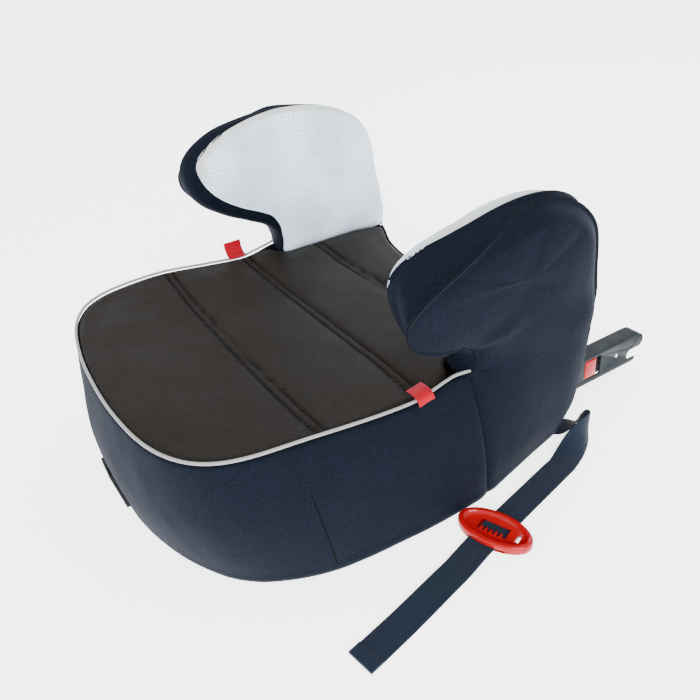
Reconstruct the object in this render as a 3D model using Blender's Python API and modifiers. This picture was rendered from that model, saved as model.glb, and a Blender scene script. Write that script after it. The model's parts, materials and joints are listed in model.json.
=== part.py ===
"""Backless booster car seat: fabric cover, padded armrests, retractable anchor arms, and a strap with a clip.

+X is the child's left, -Y the front, +Z up, and the floor is z = 0. The shapes are laid out about the
middle of the base. The last step moves them all along Y, so that the origin lies under the middle of the
whole length.
"""

import math

import bmesh
import bpy
from mathutils import Vector

GAP = 0.0003  # between pieces that touch
LAYOUT_SHIFT_Y = -0.0695  # from the middle of the base to the middle of the whole length

# Base outline, right half, from the front centre round to the rear centre: at the seat edge and at the hem.
EDGE_HALF = [
    (0.0, -0.1975), (0.055, -0.1955), (0.108, -0.188), (0.144, -0.175), (0.167, -0.155),
    (0.179, -0.125), (0.183, -0.075), (0.180, -0.020), (0.178, 0.026), (0.183, 0.062),
    (0.198, 0.092), (0.205, 0.130), (0.2035, 0.175), (0.193, 0.204), (0.168, 0.213),
    (0.140, 0.206), (0.095, 0.186), (0.048, 0.176), (0.0, 0.172),
]
HEM_HALF = [
    (0.0, -0.2035), (0.050, -0.199), (0.095, -0.1865), (0.136, -0.168), (0.165, -0.146),
    (0.184, -0.118), (0.200, -0.075), (0.206, -0.022), (0.2085, 0.020), (0.208, 0.062),
    (0.203, 0.095), (0.195, 0.128), (0.183, 0.178), (0.173, 0.203), (0.152, 0.212),
    (0.125, 0.213), (0.085, 0.211), (0.042, 0.209), (0.0, 0.208),
]
EDGE_Z_HALF = [
    0.1395, 0.1395, 0.1395, 0.140, 0.140, 0.140, 0.1395, 0.134, 0.130, 0.133,
    0.134, 0.134, 0.134, 0.133, 0.131, 0.1295, 0.1285, 0.128, 0.128,
]
BULGE_HALF = [
    0.0095, 0.0095, 0.0095, 0.009, 0.0085, 0.008, 0.0075, 0.007, 0.007, 0.007,
    0.006, 0.005, 0.004, 0.003, 0.003, 0.003, 0.003, 0.003, 0.003,
]
HEM_Z = 0.003
COLUMNS_PER_POINT = 2
SEAM_FRONT = 18  # column where the skirt meets the side cover
SEAM_REAR = 26  # column where the side cover meets the rear skirt
SKIN = 0.003
SIDE_PANEL_THICKNESS = 0.002

# Seat top: outline of the cover, right half, and the height of its middle.
SEAT_HALF = [
    (0.0, -0.1947), (0.0547, -0.1927), (0.107, -0.1853), (0.1425, -0.1727), (0.1646, -0.1535),
    (0.1762, -0.1245), (0.1802, -0.075), (0.1772, -0.020), (0.1752, 0.024), (0.1765, 0.048),
    (0.170, 0.060), (0.159, 0.066), (0.151, 0.077), (0.1500, 0.105), (0.1495, 0.140),
    (0.1490, 0.175), (0.1455, 0.196), (0.1375, 0.2015), (0.1185, 0.1935), (0.094, 0.1832),
    (0.0475, 0.1732), (0.0, 0.1692),
]
SEAT_EDGE_Z_HALF = [
    0.1395, 0.1395, 0.1395, 0.140, 0.140, 0.140, 0.1395, 0.134, 0.131, 0.132,
    0.132, 0.132, 0.132, 0.132, 0.132, 0.131, 0.130, 0.1295, 0.129, 0.1285,
    0.128, 0.128,
]
SEAT_MIDDLE_Z = 0.126
SEAT_CENTRE_Y = -0.015
SEAT_SKIN = 0.0025
DECK_Z = 0.112

# Armrest side view (y, z): at the ridge, at the outer seam, and the outer seam's distance from the middle.
ARM_RIDGE = [
    (0.072, 0.122), (0.070, 0.142), (0.067, 0.154), (0.056, 0.163), (0.038, 0.171), (0.016, 0.181),
    (-0.004, 0.195), (-0.017, 0.213), (-0.021, 0.232), (-0.016, 0.250), (0.002, 0.265), (0.030, 0.276),
    (0.062, 0.282), (0.096, 0.284), (0.130, 0.281), (0.163, 0.273), (0.190, 0.258), (0.206, 0.236),
    (0.213, 0.208), (0.214, 0.165), (0.213, 0.122), (0.175, 0.122), (0.138, 0.122), (0.100, 0.122),
]
ARM_OUTER = [
    (0.074, 0.122), (0.072, 0.142), (0.070, 0.155), (0.059, 0.166), (0.041, 0.175), (0.020, 0.185),
    (0.001, 0.196), (-0.008, 0.204), (-0.013, 0.216), (-0.010, 0.230), (0.008, 0.242), (0.034, 0.254),
    (0.064, 0.269), (0.096, 0.280), (0.129, 0.278), (0.161, 0.270), (0.186, 0.255), (0.199, 0.234),
    (0.204, 0.208), (0.205, 0.165), (0.204, 0.122), (0.172, 0.122), (0.138, 0.122), (0.102, 0.122),
]
ARM_OUTER_X = [
    0.1915, 0.1925, 0.195, 0.198, 0.201, 0.204, 0.205, 0.205, 0.205, 0.205, 0.205, 0.205,
    0.205, 0.205, 0.205, 0.205, 0.204, 0.202, 0.200, 0.198, 0.1975, 0.2055, 0.2065, 0.2035,
]
ARM_RIDGE_X = 0.175
ARM_CENTRE = (0.118, 0.212)
ARM_OUTER_MIDDLE_X = 0.2055
ARM_SPACE_LOW = (-0.100, 0.050)  # a box in (y, z) that holds the whole armrest
ARM_SPACE_HIGH = (0.300, 0.350)
PANEL_EDGE_X = 0.166  # where the inner panel meets the outer cover
CORE_X = (0.173, 0.187)
CORE_INSET = 0.006
CORE_SHRINK = 0.12

# Anchor arms: a steel channel each side, open below.
ARM_X = 0.140
ARM_HALF_WIDTH = 0.010
ARM_WALL = 0.002
ARM_TOP_Z = 0.044
ARM_SIDE = [
    (0.040, 0.011), (0.342, 0.011), (0.3445, 0.0125), (0.345, 0.0150), (0.345, 0.0275), (0.352, 0.0285),
    (0.355, 0.032), (0.355, 0.038), (0.352, 0.0425), (0.346, 0.044), (0.040, 0.044),
]
JAW_CENTRE = (0.337, 0.02175)
JAW_RADIUS = 0.00625
HOOK_PIVOT = (0.313, 0.0293)
HOOK_SIDE = [
    (0.299, 0.0255), (0.304, 0.0228), (0.313, 0.0218), (0.321, 0.0235), (0.326, 0.028), (0.330, 0.0315),
    (0.338, 0.033), (0.346, 0.0343), (0.3475, 0.037), (0.3455, 0.0402), (0.338, 0.0412), (0.322, 0.0412),
    (0.312, 0.0385), (0.304, 0.0355), (0.299, 0.033),
]
HOOK_THICKNESS = 0.004
PIN_RADIUS = 0.0022
PIN_CLEARANCE = 0.0001
WINDOW_Y = (0.2635, 0.288)
WINDOW_Z = (0.017, 0.0415)
CROSS_BAR_Y = 0.050
CROSS_BAR_Z = 0.0283

# Brake that holds the arms: a lever pressing on a flat bar, lifted by the front handle.
SLIDE_BAR_Y = (-0.074, 0.058)
SLIDE_BAR_TOP_Z = 0.021
LEVER_PIVOT = (-0.095, 0.028)
ROD_Z = 0.044
HANDLE_TILT = math.radians(7.6)

# Strap: middle line on the floor, height of its middle, and lean (0 flat, 90 on edge) in degrees.
STRAP_WIDTH = 0.025
STRAP_THICKNESS = 0.0014
STRAP_START = [
    (0.1360, 0.1705, 0.00295, 0), (0.1500, 0.1785, 0.00295, 0), (0.1640, 0.1885, 0.0018, 0),
    (0.1755, 0.2020, 0.0014, 0), (0.1830, 0.2105, 0.0060, 22), (0.1880, 0.2160, 0.0108, 60),
    (0.1925, 0.2195, 0.0129, 84), (0.1972, 0.2188, 0.0131, 92), (0.2012, 0.2130, 0.0128, 82),
    (0.2050, 0.2030, 0.0112, 62), (0.2085, 0.1900, 0.0078, 36), (0.2130, 0.1760, 0.0042, 12),
    (0.2187, 0.1610, 0.00295, 0), (0.2209, 0.15125, 0.00295, 0),
]
STRAP_END = [
    (0.2451, 0.0439, 0.00295, 0), (0.2473, 0.0342, 0.00295, 0), (0.2515, 0.0190, 0.00295, 0),
    (0.2563, 0.0030, 0.00295, 0), (0.2605, -0.0150, 0.00295, 0), (0.2658, -0.0380, 0.0028, 0),
    (0.2705, -0.0610, 0.0016, 0), (0.2750, -0.0840, 0.0011, 0), (0.2775, -0.0960, 0.0011, 0),
]
STRAP_TIP = [(0.2778, -0.0972, 0.0018, 0), (0.2800, -0.1085, 0.0018, 0)]
FOLD_THICKNESS = 0.0028

# Clip that slides along the strap's straight stretch.
CLIP_CENTRE = (0.2440, 0.0530)
CLIP_TURN = math.radians(21)
CLIP_HALF_LENGTH = 0.0345
CLIP_HALF_WIDTH = 0.019
CLIP_TOP_Z = 0.009
CLIP_TUNNEL_Z = (0.0018, 0.0042)
CLIP_TUNNEL_HALF = 0.0178
CLIP_WINDOW = (-0.0150, 0.0125, -0.0058, 0.0068)

# Clamp that holds the strap's hidden end under the base plate.
CLAMP_CENTRE = (0.1460, 0.1760)
CLAMP_TURN = math.atan2(0.0080, 0.0140)


def clear_scene():
    for obj in list(bpy.data.objects):
        bpy.data.objects.remove(obj, do_unlink=True)


def make_collection(name, hidden=False):
    collection = bpy.data.collections.new(name)
    bpy.context.scene.collection.children.link(collection)
    collection.hide_render = hidden
    return collection


clear_scene()
SEAT = make_collection("booster_seat")
CUTTERS = make_collection("cutters", hidden=True)


def material(name, colour, roughness, metallic=0.0):
    made = bpy.data.materials.new(name)
    made.use_nodes = True
    shader = made.node_tree.nodes["Principled BSDF"]
    shader.inputs["Base Color"].default_value = (*colour, 1.0)
    shader.inputs["Roughness"].default_value = roughness
    shader.inputs["Metallic"].default_value = metallic
    return made


LOOKS = {
    "seat_fabric": ((0.050, 0.040, 0.033), 0.55, 0.0),
    "cover_fabric": ((0.012, 0.016, 0.028), 0.80, 0.0),
    "panel_fabric": ((0.62, 0.72, 0.82), 0.80, 0.0),
    "piping_fabric": ((0.62, 0.66, 0.72), 0.60, 0.0),
    "red_ribbon": ((0.75, 0.01, 0.03), 0.50, 0.0),
    "foam": ((0.55, 0.53, 0.48), 0.90, 0.0),
    "shell_plastic": ((0.02, 0.02, 0.022), 0.45, 0.0),
    "red_plastic": ((0.70, 0.0, 0.005), 0.20, 0.0),
    "grey_steel": ((0.06, 0.085, 0.11), 0.40, 0.8),
    "bright_steel": ((0.45, 0.46, 0.48), 0.30, 1.0),
    "foot_rubber": ((0.02, 0.02, 0.02), 0.85, 0.0),
    "webbing": ((0.025, 0.040, 0.075), 0.75, 0.0),
}


def link(name, mesh, look, smooth=False):
    obj = bpy.data.objects.new(name, mesh)
    SEAT.objects.link(obj)
    colour, roughness, metallic = LOOKS[look]
    mesh.materials.append(material(name + "_" + look, colour, roughness, metallic))
    if smooth:
        for face in mesh.polygons:
            face.use_smooth = True
    return obj


def cutter(name, mesh):
    obj = bpy.data.objects.new(name, mesh)
    CUTTERS.objects.link(obj)
    obj.hide_render = True
    obj.display_type = "WIRE"
    return obj


def combine(obj, other, operation):
    """Adds an exact Boolean of obj with the helper other."""
    step = obj.modifiers.new(operation.lower() + "_" + other.name, "BOOLEAN")
    step.operation = operation
    step.solver = "EXACT"
    step.object = other


def set_origin(obj, point):
    """Puts the object's origin at a point of its joint's axis and leaves its shape where it is."""
    for vert in obj.data.vertices:
        vert.co -= Vector(point)
    obj.location = point


def cut(obj, *others):
    for other in others:
        combine(obj, other, "DIFFERENCE")


def join(obj, *others):
    for other in others:
        combine(obj, other, "UNION")


def mesh_from(name, bm):
    bm.normal_update()
    bmesh.ops.recalc_face_normals(bm, faces=bm.faces)
    mesh = bpy.data.meshes.new(name)
    bm.to_mesh(mesh)
    bm.free()
    return mesh


def loft_mesh(name, loops, round_trip=False):
    """Skins closed loops of equal length in order. The ends are capped, or joined on a round trip."""
    bm = bmesh.new()
    rows = [[bm.verts.new(point) for point in loop] for loop in loops]
    count = len(rows[0])
    spans = len(rows) if round_trip else len(rows) - 1
    for i in range(spans):
        low = rows[i]
        high = rows[(i + 1) % len(rows)]
        for j in range(count):
            k = (j + 1) % count
            bm.faces.new((low[j], low[k], high[k], high[j]))
    if not round_trip:
        bm.faces.new(list(reversed(rows[0])))
        bm.faces.new(rows[-1])
    # The four corners of a face needn't lie in one plane, and exact Booleans need flat faces.
    bm.normal_update()
    bmesh.ops.triangulate(bm, faces=bm.faces)
    return mesh_from(name, bm)


def box_mesh(name, low, high):
    bm = bmesh.new()
    bmesh.ops.create_cube(bm, size=1.0)
    for vert in bm.verts:
        for axis in range(3):
            middle = (low[axis] + high[axis]) / 2
            vert.co[axis] = middle + vert.co[axis] * (high[axis] - low[axis])
    return mesh_from(name, bm)


def rod_mesh(name, centre, radius, length, axis, sides=24):
    """A cylinder with its middle at centre, along axis 0, 1 or 2."""
    bm = bmesh.new()
    bmesh.ops.create_cone(
        bm, cap_ends=True, cap_tris=False, segments=sides, radius1=radius, radius2=radius, depth=length
    )
    turned = {0: (2, 0, 1), 1: (1, 2, 0), 2: (0, 1, 2)}[axis]
    for vert in bm.verts:
        local = vert.co.copy()
        for i in range(3):
            vert.co[i] = centre[i] + local[turned[i]]
    return mesh_from(name, bm)


def side_plate_mesh(name, outline, x_low, x_high):
    """A flat plate with this (y, z) outline, between two distances along X."""
    loops = [[(x, y, z) for y, z in outline] for x in (x_low, x_high)]
    return loft_mesh(name, loops)


def bevel(obj, width, segments=2):
    step = obj.modifiers.new("rounded_edges", "BEVEL")
    step.width = width
    step.segments = segments
    step.limit_method = "ANGLE"
    step.angle_limit = math.radians(40)


def curve_points(points, steps, closed):
    """Points on a smooth curve through the given ones, of any dimension, with this many steps between two."""
    count = len(points)
    spans = count if closed else count - 1
    found = []
    for i in range(spans):
        around = []
        for offset in (-1, 0, 1, 2):
            place = i + offset
            place = place % count if closed else min(max(place, 0), count - 1)
            around.append(points[place])
        for step in range(steps):
            t = step / steps
            weights = (
                (-t + 2 * t * t - t**3) / 2,
                (2 - 5 * t * t + 3 * t**3) / 2,
                (t + 4 * t * t - 3 * t**3) / 2,
                (-t * t + t**3) / 2,
            )
            found.append(tuple(sum(w * p[a] for w, p in zip(weights, around)) for a in range(len(points[0]))))
    if not closed:
        found.append(tuple(points[-1]))
    return found


def whole_loop(half, steps=COLUMNS_PER_POINT):
    """The closed loop of a half outline whose first and last points are on the middle plane."""
    mirrored = [(-point[0], *point[1:]) for point in reversed(half[1:-1])]
    return curve_points(half + mirrored, steps, closed=True)


def outward_normals(loop):
    """Unit vectors pointing out of a counter-clockwise loop of (x, y) points."""
    count = len(loop)
    found = []
    for i in range(count):
        before = loop[i - 1]
        after = loop[(i + 1) % count]
        along = Vector((after[0] - before[0], after[1] - before[1])).normalized()
        found.append((along.y, -along.x))
    return found


EDGE = whole_loop([(x, y, z, b) for (x, y), z, b in zip(EDGE_HALF, EDGE_Z_HALF, BULGE_HALF)])
HEM = whole_loop(HEM_HALF)
MEAN_NORMALS = outward_normals([((e[0] + h[0]) / 2, (e[1] + h[1]) / 2) for e, h in zip(EDGE, HEM)])
COLUMNS = len(EDGE)


def wall_point(column, z, inset):
    """A point of the padded side wall at this height, or inset behind it."""
    column = column % COLUMNS
    edge_x, edge_y, edge_z, bulge = EDGE[column]
    hem_x, hem_y = HEM[column]
    out_x, out_y = MEAN_NORMALS[column]
    up = (z - HEM_Z) / (edge_z - HEM_Z)
    push = bulge * math.sin(math.pi * min(max(up, 0.0), 1.0)) - inset
    return (hem_x + (edge_x - hem_x) * up + out_x * push, hem_y + (edge_y - hem_y) * up + out_y * push, z)


def wall_loop(z, inset):
    return [wall_point(column, z, inset) for column in range(COLUMNS)]


def strip_mesh(name, first, last, top_of, thickness=SKIN, outset=0.0):
    """Part of the side wall's cover, from one column to another, kept just short of its neighbours."""
    rises = (0.0, 0.22, 0.46, 0.72, 1.0)
    loops = []
    for column in range(first, last + 1):
        top = top_of(column)
        heights = [HEM_Z + (top - HEM_Z) * rise for rise in rises]
        outer = [wall_point(column, z, -outset) for z in heights]
        inner = [wall_point(column, z, thickness) for z in reversed(heights)]
        loops.append([Vector(point) for point in outer + inner])
    for here, inward in ((0, 1), (-1, -2)):
        steps = [(b - a).normalized() * GAP for a, b in zip(loops[here], loops[inward])]
        loops[here] = [point + step for point, step in zip(loops[here], steps)]
    return loft_mesh(name, loops)


# Covers of the base


def skirt_top(column):
    return EDGE[column % COLUMNS][2] - 0.0027


def side_top(column):
    return EDGE[column % COLUMNS][2]


def space_top(column):
    return EDGE[column % COLUMNS][2] + 0.0008


def rear_top(column):
    """Under the armrests the cover stops below them."""
    x, _, edge_z, _ = EDGE[column % COLUMNS]
    return 0.1215 if abs(x) > 0.150 else edge_z - SEAT_SKIN - 2 * GAP


front_skirt = link(
    "front_skirt", strip_mesh("front_skirt", -SEAM_FRONT, SEAM_FRONT, skirt_top), "cover_fabric", smooth=True
)
slot_mesh = box_mesh("handle_slot", (-0.004, -0.225, 0.0385), (0.004, -0.190, 0.0495))
handle_slot = cutter("handle_slot", slot_mesh)
cut(front_skirt, handle_slot)

rear_strip = strip_mesh("rear_skirt", SEAM_REAR, COLUMNS - SEAM_REAR, rear_top)
rear_skirt = link("rear_skirt", rear_strip, "cover_fabric", smooth=True)
for side, sign in (("left", 1), ("right", -1)):
    low, high = sorted((sign * 0.1275, sign * 0.1525))
    window = cutter(side + "_skirt_window", box_mesh("window", (low, 0.185, -0.010), (high, 0.230, 0.0485)))
    cut(rear_skirt, window)


# Seat top

SEAT_LOOP = whole_loop([(x, y, z) for (x, y), z in zip(SEAT_HALF, SEAT_EDGE_Z_HALF)])
SEAT_NORMALS = outward_normals([point[:2] for point in SEAT_LOOP])
SEAT_RINGS = (1.0, 0.96, 0.84, 0.60, 0.20)


def seat_ring(share, drop, inset=0.0):
    """The seat's outline shrunk to this share about its centre, this far below the finished surface."""
    ring = []
    for (x, y, edge_z), (out_x, out_y) in zip(SEAT_LOOP, SEAT_NORMALS):
        x -= out_x * inset
        y -= out_y * inset
        rise = (edge_z - SEAT_MIDDLE_Z) * share**3
        ring.append((x * share, SEAT_CENTRE_Y + (y - SEAT_CENTRE_Y) * share, SEAT_MIDDLE_Z + rise - drop))
    return ring


def seat_cover_mesh():
    top = [seat_ring(share, 0.0) for share in reversed(SEAT_RINGS)]
    under = [seat_ring(share, SEAT_SKIN) for share in SEAT_RINGS]
    return loft_mesh("seat_top_cover", top + under)


def seat_foam_mesh():
    inset = 0.0015
    bottom = [(x, y, DECK_Z + GAP) for x, y, _ in seat_ring(1.0, 0.0, inset)]
    top = [seat_ring(share, SEAT_SKIN + 2 * GAP, inset) for share in SEAT_RINGS]
    return loft_mesh("seat_foam", [bottom] + top)


link("seat_top_cover", seat_cover_mesh(), "seat_fabric", smooth=True)
link("seat_foam", seat_foam_mesh(), "foam")


# Piping

PIPING_RADIUS = 0.00225


def tube(name, points, radius, look, sides=2):
    """A round cord along these points, as one closed mesh."""
    data = bpy.data.curves.new(name + "_line", "CURVE")
    data.dimensions = "3D"
    data.bevel_depth = radius
    data.bevel_resolution = sides
    data.use_fill_caps = True
    spline = data.splines.new("POLY")
    spline.points.add(len(points) - 1)
    for place, point in zip(spline.points, points):
        place.co = (*point, 1.0)
    line = bpy.data.objects.new(name + "_line", data)
    CUTTERS.objects.link(line)
    bpy.context.view_layer.update()
    graph = bpy.context.evaluated_depsgraph_get()
    mesh = bpy.data.meshes.new_from_object(line.evaluated_get(graph))
    bpy.data.objects.remove(line)
    bm = bmesh.new()
    bm.from_mesh(mesh)
    bmesh.ops.remove_doubles(bm, verts=bm.verts, dist=1e-6)
    bpy.data.meshes.remove(mesh)
    return link(name, mesh_from(name, bm), look, smooth=True)


def piping_points():
    points = [EDGE[column % COLUMNS][:3] for column in range(2 - SEAM_FRONT, SEAM_FRONT - 1)]
    ends = [(0.1812, 0.0560, 0.1331), (0.1795, 0.0592, 0.1333)]
    left = [(-x, y, z) for x, y, z in reversed(ends)]
    return left + points + ends


tube("edge_piping", piping_points(), PIPING_RADIUS, "piping_fabric")


# Armrests

ARM_POINTS = [(*ridge, *outer, x) for ridge, outer, x in zip(ARM_RIDGE, ARM_OUTER, ARM_OUTER_X)]
ARM_SMOOTH = curve_points(ARM_POINTS, 2, closed=True)


def arm_section(share, x_in, shrink, inset, floor_z):
    """One closed (y, z) section of the armrest. share runs from 0 at the ridge to 1 at the outer seam.

    x_in is the distance from the middle inside the ridge, shrink draws the section towards its centre,
    inset moves it inwards all round, and floor_z replaces the height of its lowest points.
    """
    flat = []
    for ridge_y, ridge_z, outer_y, outer_z, _ in ARM_SMOOTH:
        y = ridge_y + (outer_y - ridge_y) * share
        z = ridge_z + (outer_z - ridge_z) * share
        flat.append((y + (ARM_CENTRE[0] - y) * shrink, z + (ARM_CENTRE[1] - z) * shrink))
    # The outline runs clockwise in the (y, z) plane, so its normals are turned round.
    normals = [(-a, -b) for a, b in outward_normals(flat)]
    section = []
    for (y, z), (out_y, out_z), (_, ridge_z, _, _, outer_x) in zip(flat, normals, ARM_SMOOTH):
        y -= out_y * inset
        z -= out_z * inset
        if ridge_z < 0.1235 and floor_z is not None:
            z = floor_z
        x = ARM_RIDGE_X + (outer_x - ARM_RIDGE_X) * share if x_in is None else x_in
        section.append((x, y, z))
    return section


def arm_sections(inset, floor_z=None):
    """Sections of the whole armrest from its inner face to its outer one, moved inwards by inset."""
    inner = [(0.1525, 0.20), (0.1540, 0.10), (0.1575, 0.045), (0.1640, 0.012), (ARM_RIDGE_X, 0.0)]
    sections = []
    for x, shrink in inner:
        deeper = x + inset * (ARM_RIDGE_X - x) / (ARM_RIDGE_X - 0.1525)
        sections.append(arm_section(0.0, deeper, shrink, inset, floor_z))
    for share in (0.45, 0.80, 1.0):
        sections.append(arm_section(share, None, 0.0, inset, floor_z))
    for shrink, levelled, bulge in ((0.06, 0.21, 0.0012), (0.22, 0.77, 0.0022)):
        dome = arm_section(1.0, None, shrink, inset, floor_z)
        sections.append([(x + (ARM_OUTER_MIDDLE_X - x) * levelled + bulge, y, z) for x, y, z in dome])
    last = len(sections) - 5
    shares = (0.45, 0.80, 1.0, 1.0, 1.0)
    for i, share in enumerate(shares):
        sections[last + i] = [(x - inset * share, y, z) for x, y, z in sections[last + i]]
    return sections


def sided(loops, sign):
    return [[(sign * x, y, z) for x, y, z in loop] for loop in loops]


def armrest(side, sign):
    whole = sided(arm_sections(0.0), sign)
    hollow = cutter(side + "_arm_hollow", loft_mesh("arm_hollow", sided(arm_sections(SKIN, 0.100), sign)))
    far = 0.300

    panel = link(side + "_armrest_inner_panel", loft_mesh("panel", whole), "panel_fabric", smooth=True)
    low, high = sorted((sign * (PANEL_EDGE_X - GAP / 2), sign * far))
    outer_box = box_mesh("outer_side", (low, *ARM_SPACE_LOW), (high, *ARM_SPACE_HIGH))
    outer_side = cutter(side + "_outer_side", outer_box)
    cut(panel, hollow, outer_side)

    cover = link(side + "_side_cover", loft_mesh("cover", whole), "cover_fabric", smooth=True)
    low, high = sorted((sign * (PANEL_EDGE_X + GAP / 2), 0.0))
    inner_box = box_mesh("inner_side", (low, *ARM_SPACE_LOW), (high, *ARM_SPACE_HIGH))
    inner_side = cutter(side + "_inner_side", inner_box)
    cut(cover, hollow, inner_side)
    first, last = (SEAM_FRONT, SEAM_REAR) if sign > 0 else (COLUMNS - SEAM_REAR, COLUMNS - SEAM_FRONT)
    strip = cutter(side + "_side_strip", strip_mesh("strip", first, last, side_top, SIDE_PANEL_THICKNESS))
    join(cover, strip)

    foam = link(side + "_armrest_foam", loft_mesh("foam", sided(arm_sections(0.0046, 0.1155), sign)), "foam")
    core = cutter(side + "_core_space", core_mesh("core_space", sign, -GAP, 0.100))
    reach_front, reach_rear = (1, 4) if sign > 0 else (4, 1)
    ends = (first - reach_front, last + reach_rear)
    wall_space = strip_mesh("wall_space", *ends, space_top, 0.0038, outset=0.006)
    cut(foam, core, cutter(side + "_wall_space", wall_space))


def core_outline(inset):
    """Outline of the shell's stiffener in the armrest, open at the bottom where it grows from the deck."""
    section = arm_section(0.45, 0.0, CORE_SHRINK, CORE_INSET + inset, 0.105)
    return [(y, z) for _, y, z in section]


def core_mesh(name, sign, inset, floor_z):
    outline = [(y, floor_z if z < 0.106 else z) for y, z in core_outline(inset)]
    low, high = sorted((sign * (CORE_X[0] + inset), sign * (CORE_X[1] - inset)))
    return side_plate_mesh(name, outline, low, high)


for side, sign in (("left", 1), ("right", -1)):
    armrest(side, sign)


# Plastic shell, base plate, feet and screws

SHELL_INSET = 0.005
SHELL_WALL = 0.003
SHELL_LEVELS = (0.006, 0.040, 0.080)
BOSSES = ((0.100, -0.125), (0.100, 0.140), (-0.100, -0.125), (-0.100, 0.140))

shell_outside = [wall_loop(z, SHELL_INSET) for z in (*SHELL_LEVELS, DECK_Z)]
seat_shell = link("seat_shell", loft_mesh("seat_shell", shell_outside), "shell_plastic")
cavity_levels = (-0.010, *SHELL_LEVELS[1:], DECK_Z - SHELL_WALL)
cavity = [wall_loop(z, SHELL_INSET + SHELL_WALL) for z in cavity_levels]
cut(seat_shell, cutter("shell_cavity", loft_mesh("shell_cavity", cavity)))
for side, sign in (("left", 1), ("right", -1)):
    join(seat_shell, cutter(side + "_core", core_mesh("core", sign, 0.0, 0.110)))
    cut(seat_shell, cutter(side + "_core_hollow", core_mesh("core_hollow", sign, 0.0025, 0.100)))
    low, high = sorted((sign * 0.1265, sign * 0.1535))
    shell_window = box_mesh("window", (low, 0.180, -0.010), (high, 0.230, 0.0495))
    cut(seat_shell, cutter(side + "_shell_window", shell_window))
cut(seat_shell, cutter("rod_window", box_mesh("rod_window", (-0.005, -0.215, 0.037), (0.005, -0.180, 0.051))))

base_plate = link(
    "base_plate",
    loft_mesh("base_plate", [[(x, y, z) for x, y, _ in wall_loop(HEM_Z, 0.014)] for z in (0.004, 0.007)]),
    "shell_plastic",
)
for number, (x, y) in enumerate(BOSSES, 1):
    boss = rod_mesh("boss", (x, y, 0.0585), 0.006, 0.1025, 2, 24)
    join(seat_shell, cutter(f"boss_{number}", boss))
    bore = cutter(f"boss_bore_{number}", rod_mesh("bore", (x, y, 0.010), 0.0024, 0.032, 2))
    cut(seat_shell, bore)
    cut(base_plate, bore)
    shank = rod_mesh("screw", (x, y, 0.01275), 0.0020, 0.0205, 2, 16)
    screw = link(f"base_screw_{number}", shank, "bright_steel")
    join(screw, cutter(f"screw_head_{number}", rod_mesh("head", (x, y, 0.00275), 0.0045, 0.0019, 2, 16)))
    drive = rod_mesh("drive", (x, y, 0.0020), 0.0018, 0.0012, 2, 6)
    cut(screw, cutter(f"screw_drive_{number}", drive))

FEET = ((0.140, -0.120), (0.106, 0.168), (-0.140, -0.120), (-0.106, 0.168))
for number, (x, y) in enumerate(FEET, 1):
    pad = rod_mesh("foot", (x, y, 0.00185), 0.012, 0.0037, 2, 28)
    foot = link(f"rubber_foot_{number}", pad, "foot_rubber")
    bevel(foot, 0.0008, 1)


# Guides for the anchor arms, and the arms with their latches

GUIDE_Y = (-0.085, 0.150)


def signed_box(name, sign, x_low, x_high, y_low, y_high, z_low, z_high):
    low, high = sorted((sign * x_low, sign * x_high))
    return box_mesh(name, (low, y_low, z_low), (high, y_high, z_high))


def guide(side, sign):
    name = side + "_guide_channel"
    obj = link(name, signed_box(name, sign, 0.1305, 0.1526, *GUIDE_Y, 0.0073, 0.0465), "shell_plastic")
    space = signed_box("guide_space", sign, 0.120, 0.1506, -0.100, 0.210, 0.0104, 0.0446)
    cut(obj, cutter(side + "_guide_space", space))


carriage = bpy.data.objects.new("isofix_carriage", None)
SEAT.objects.link(carriage)
carriage.location = (0.0, CROSS_BAR_Y, CROSS_BAR_Z)


def put_on_carriage(obj):
    """Parents a piece to the empty that the arms slide with, and leaves it where it is."""
    obj.parent = carriage
    obj.location -= carriage.location


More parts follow.
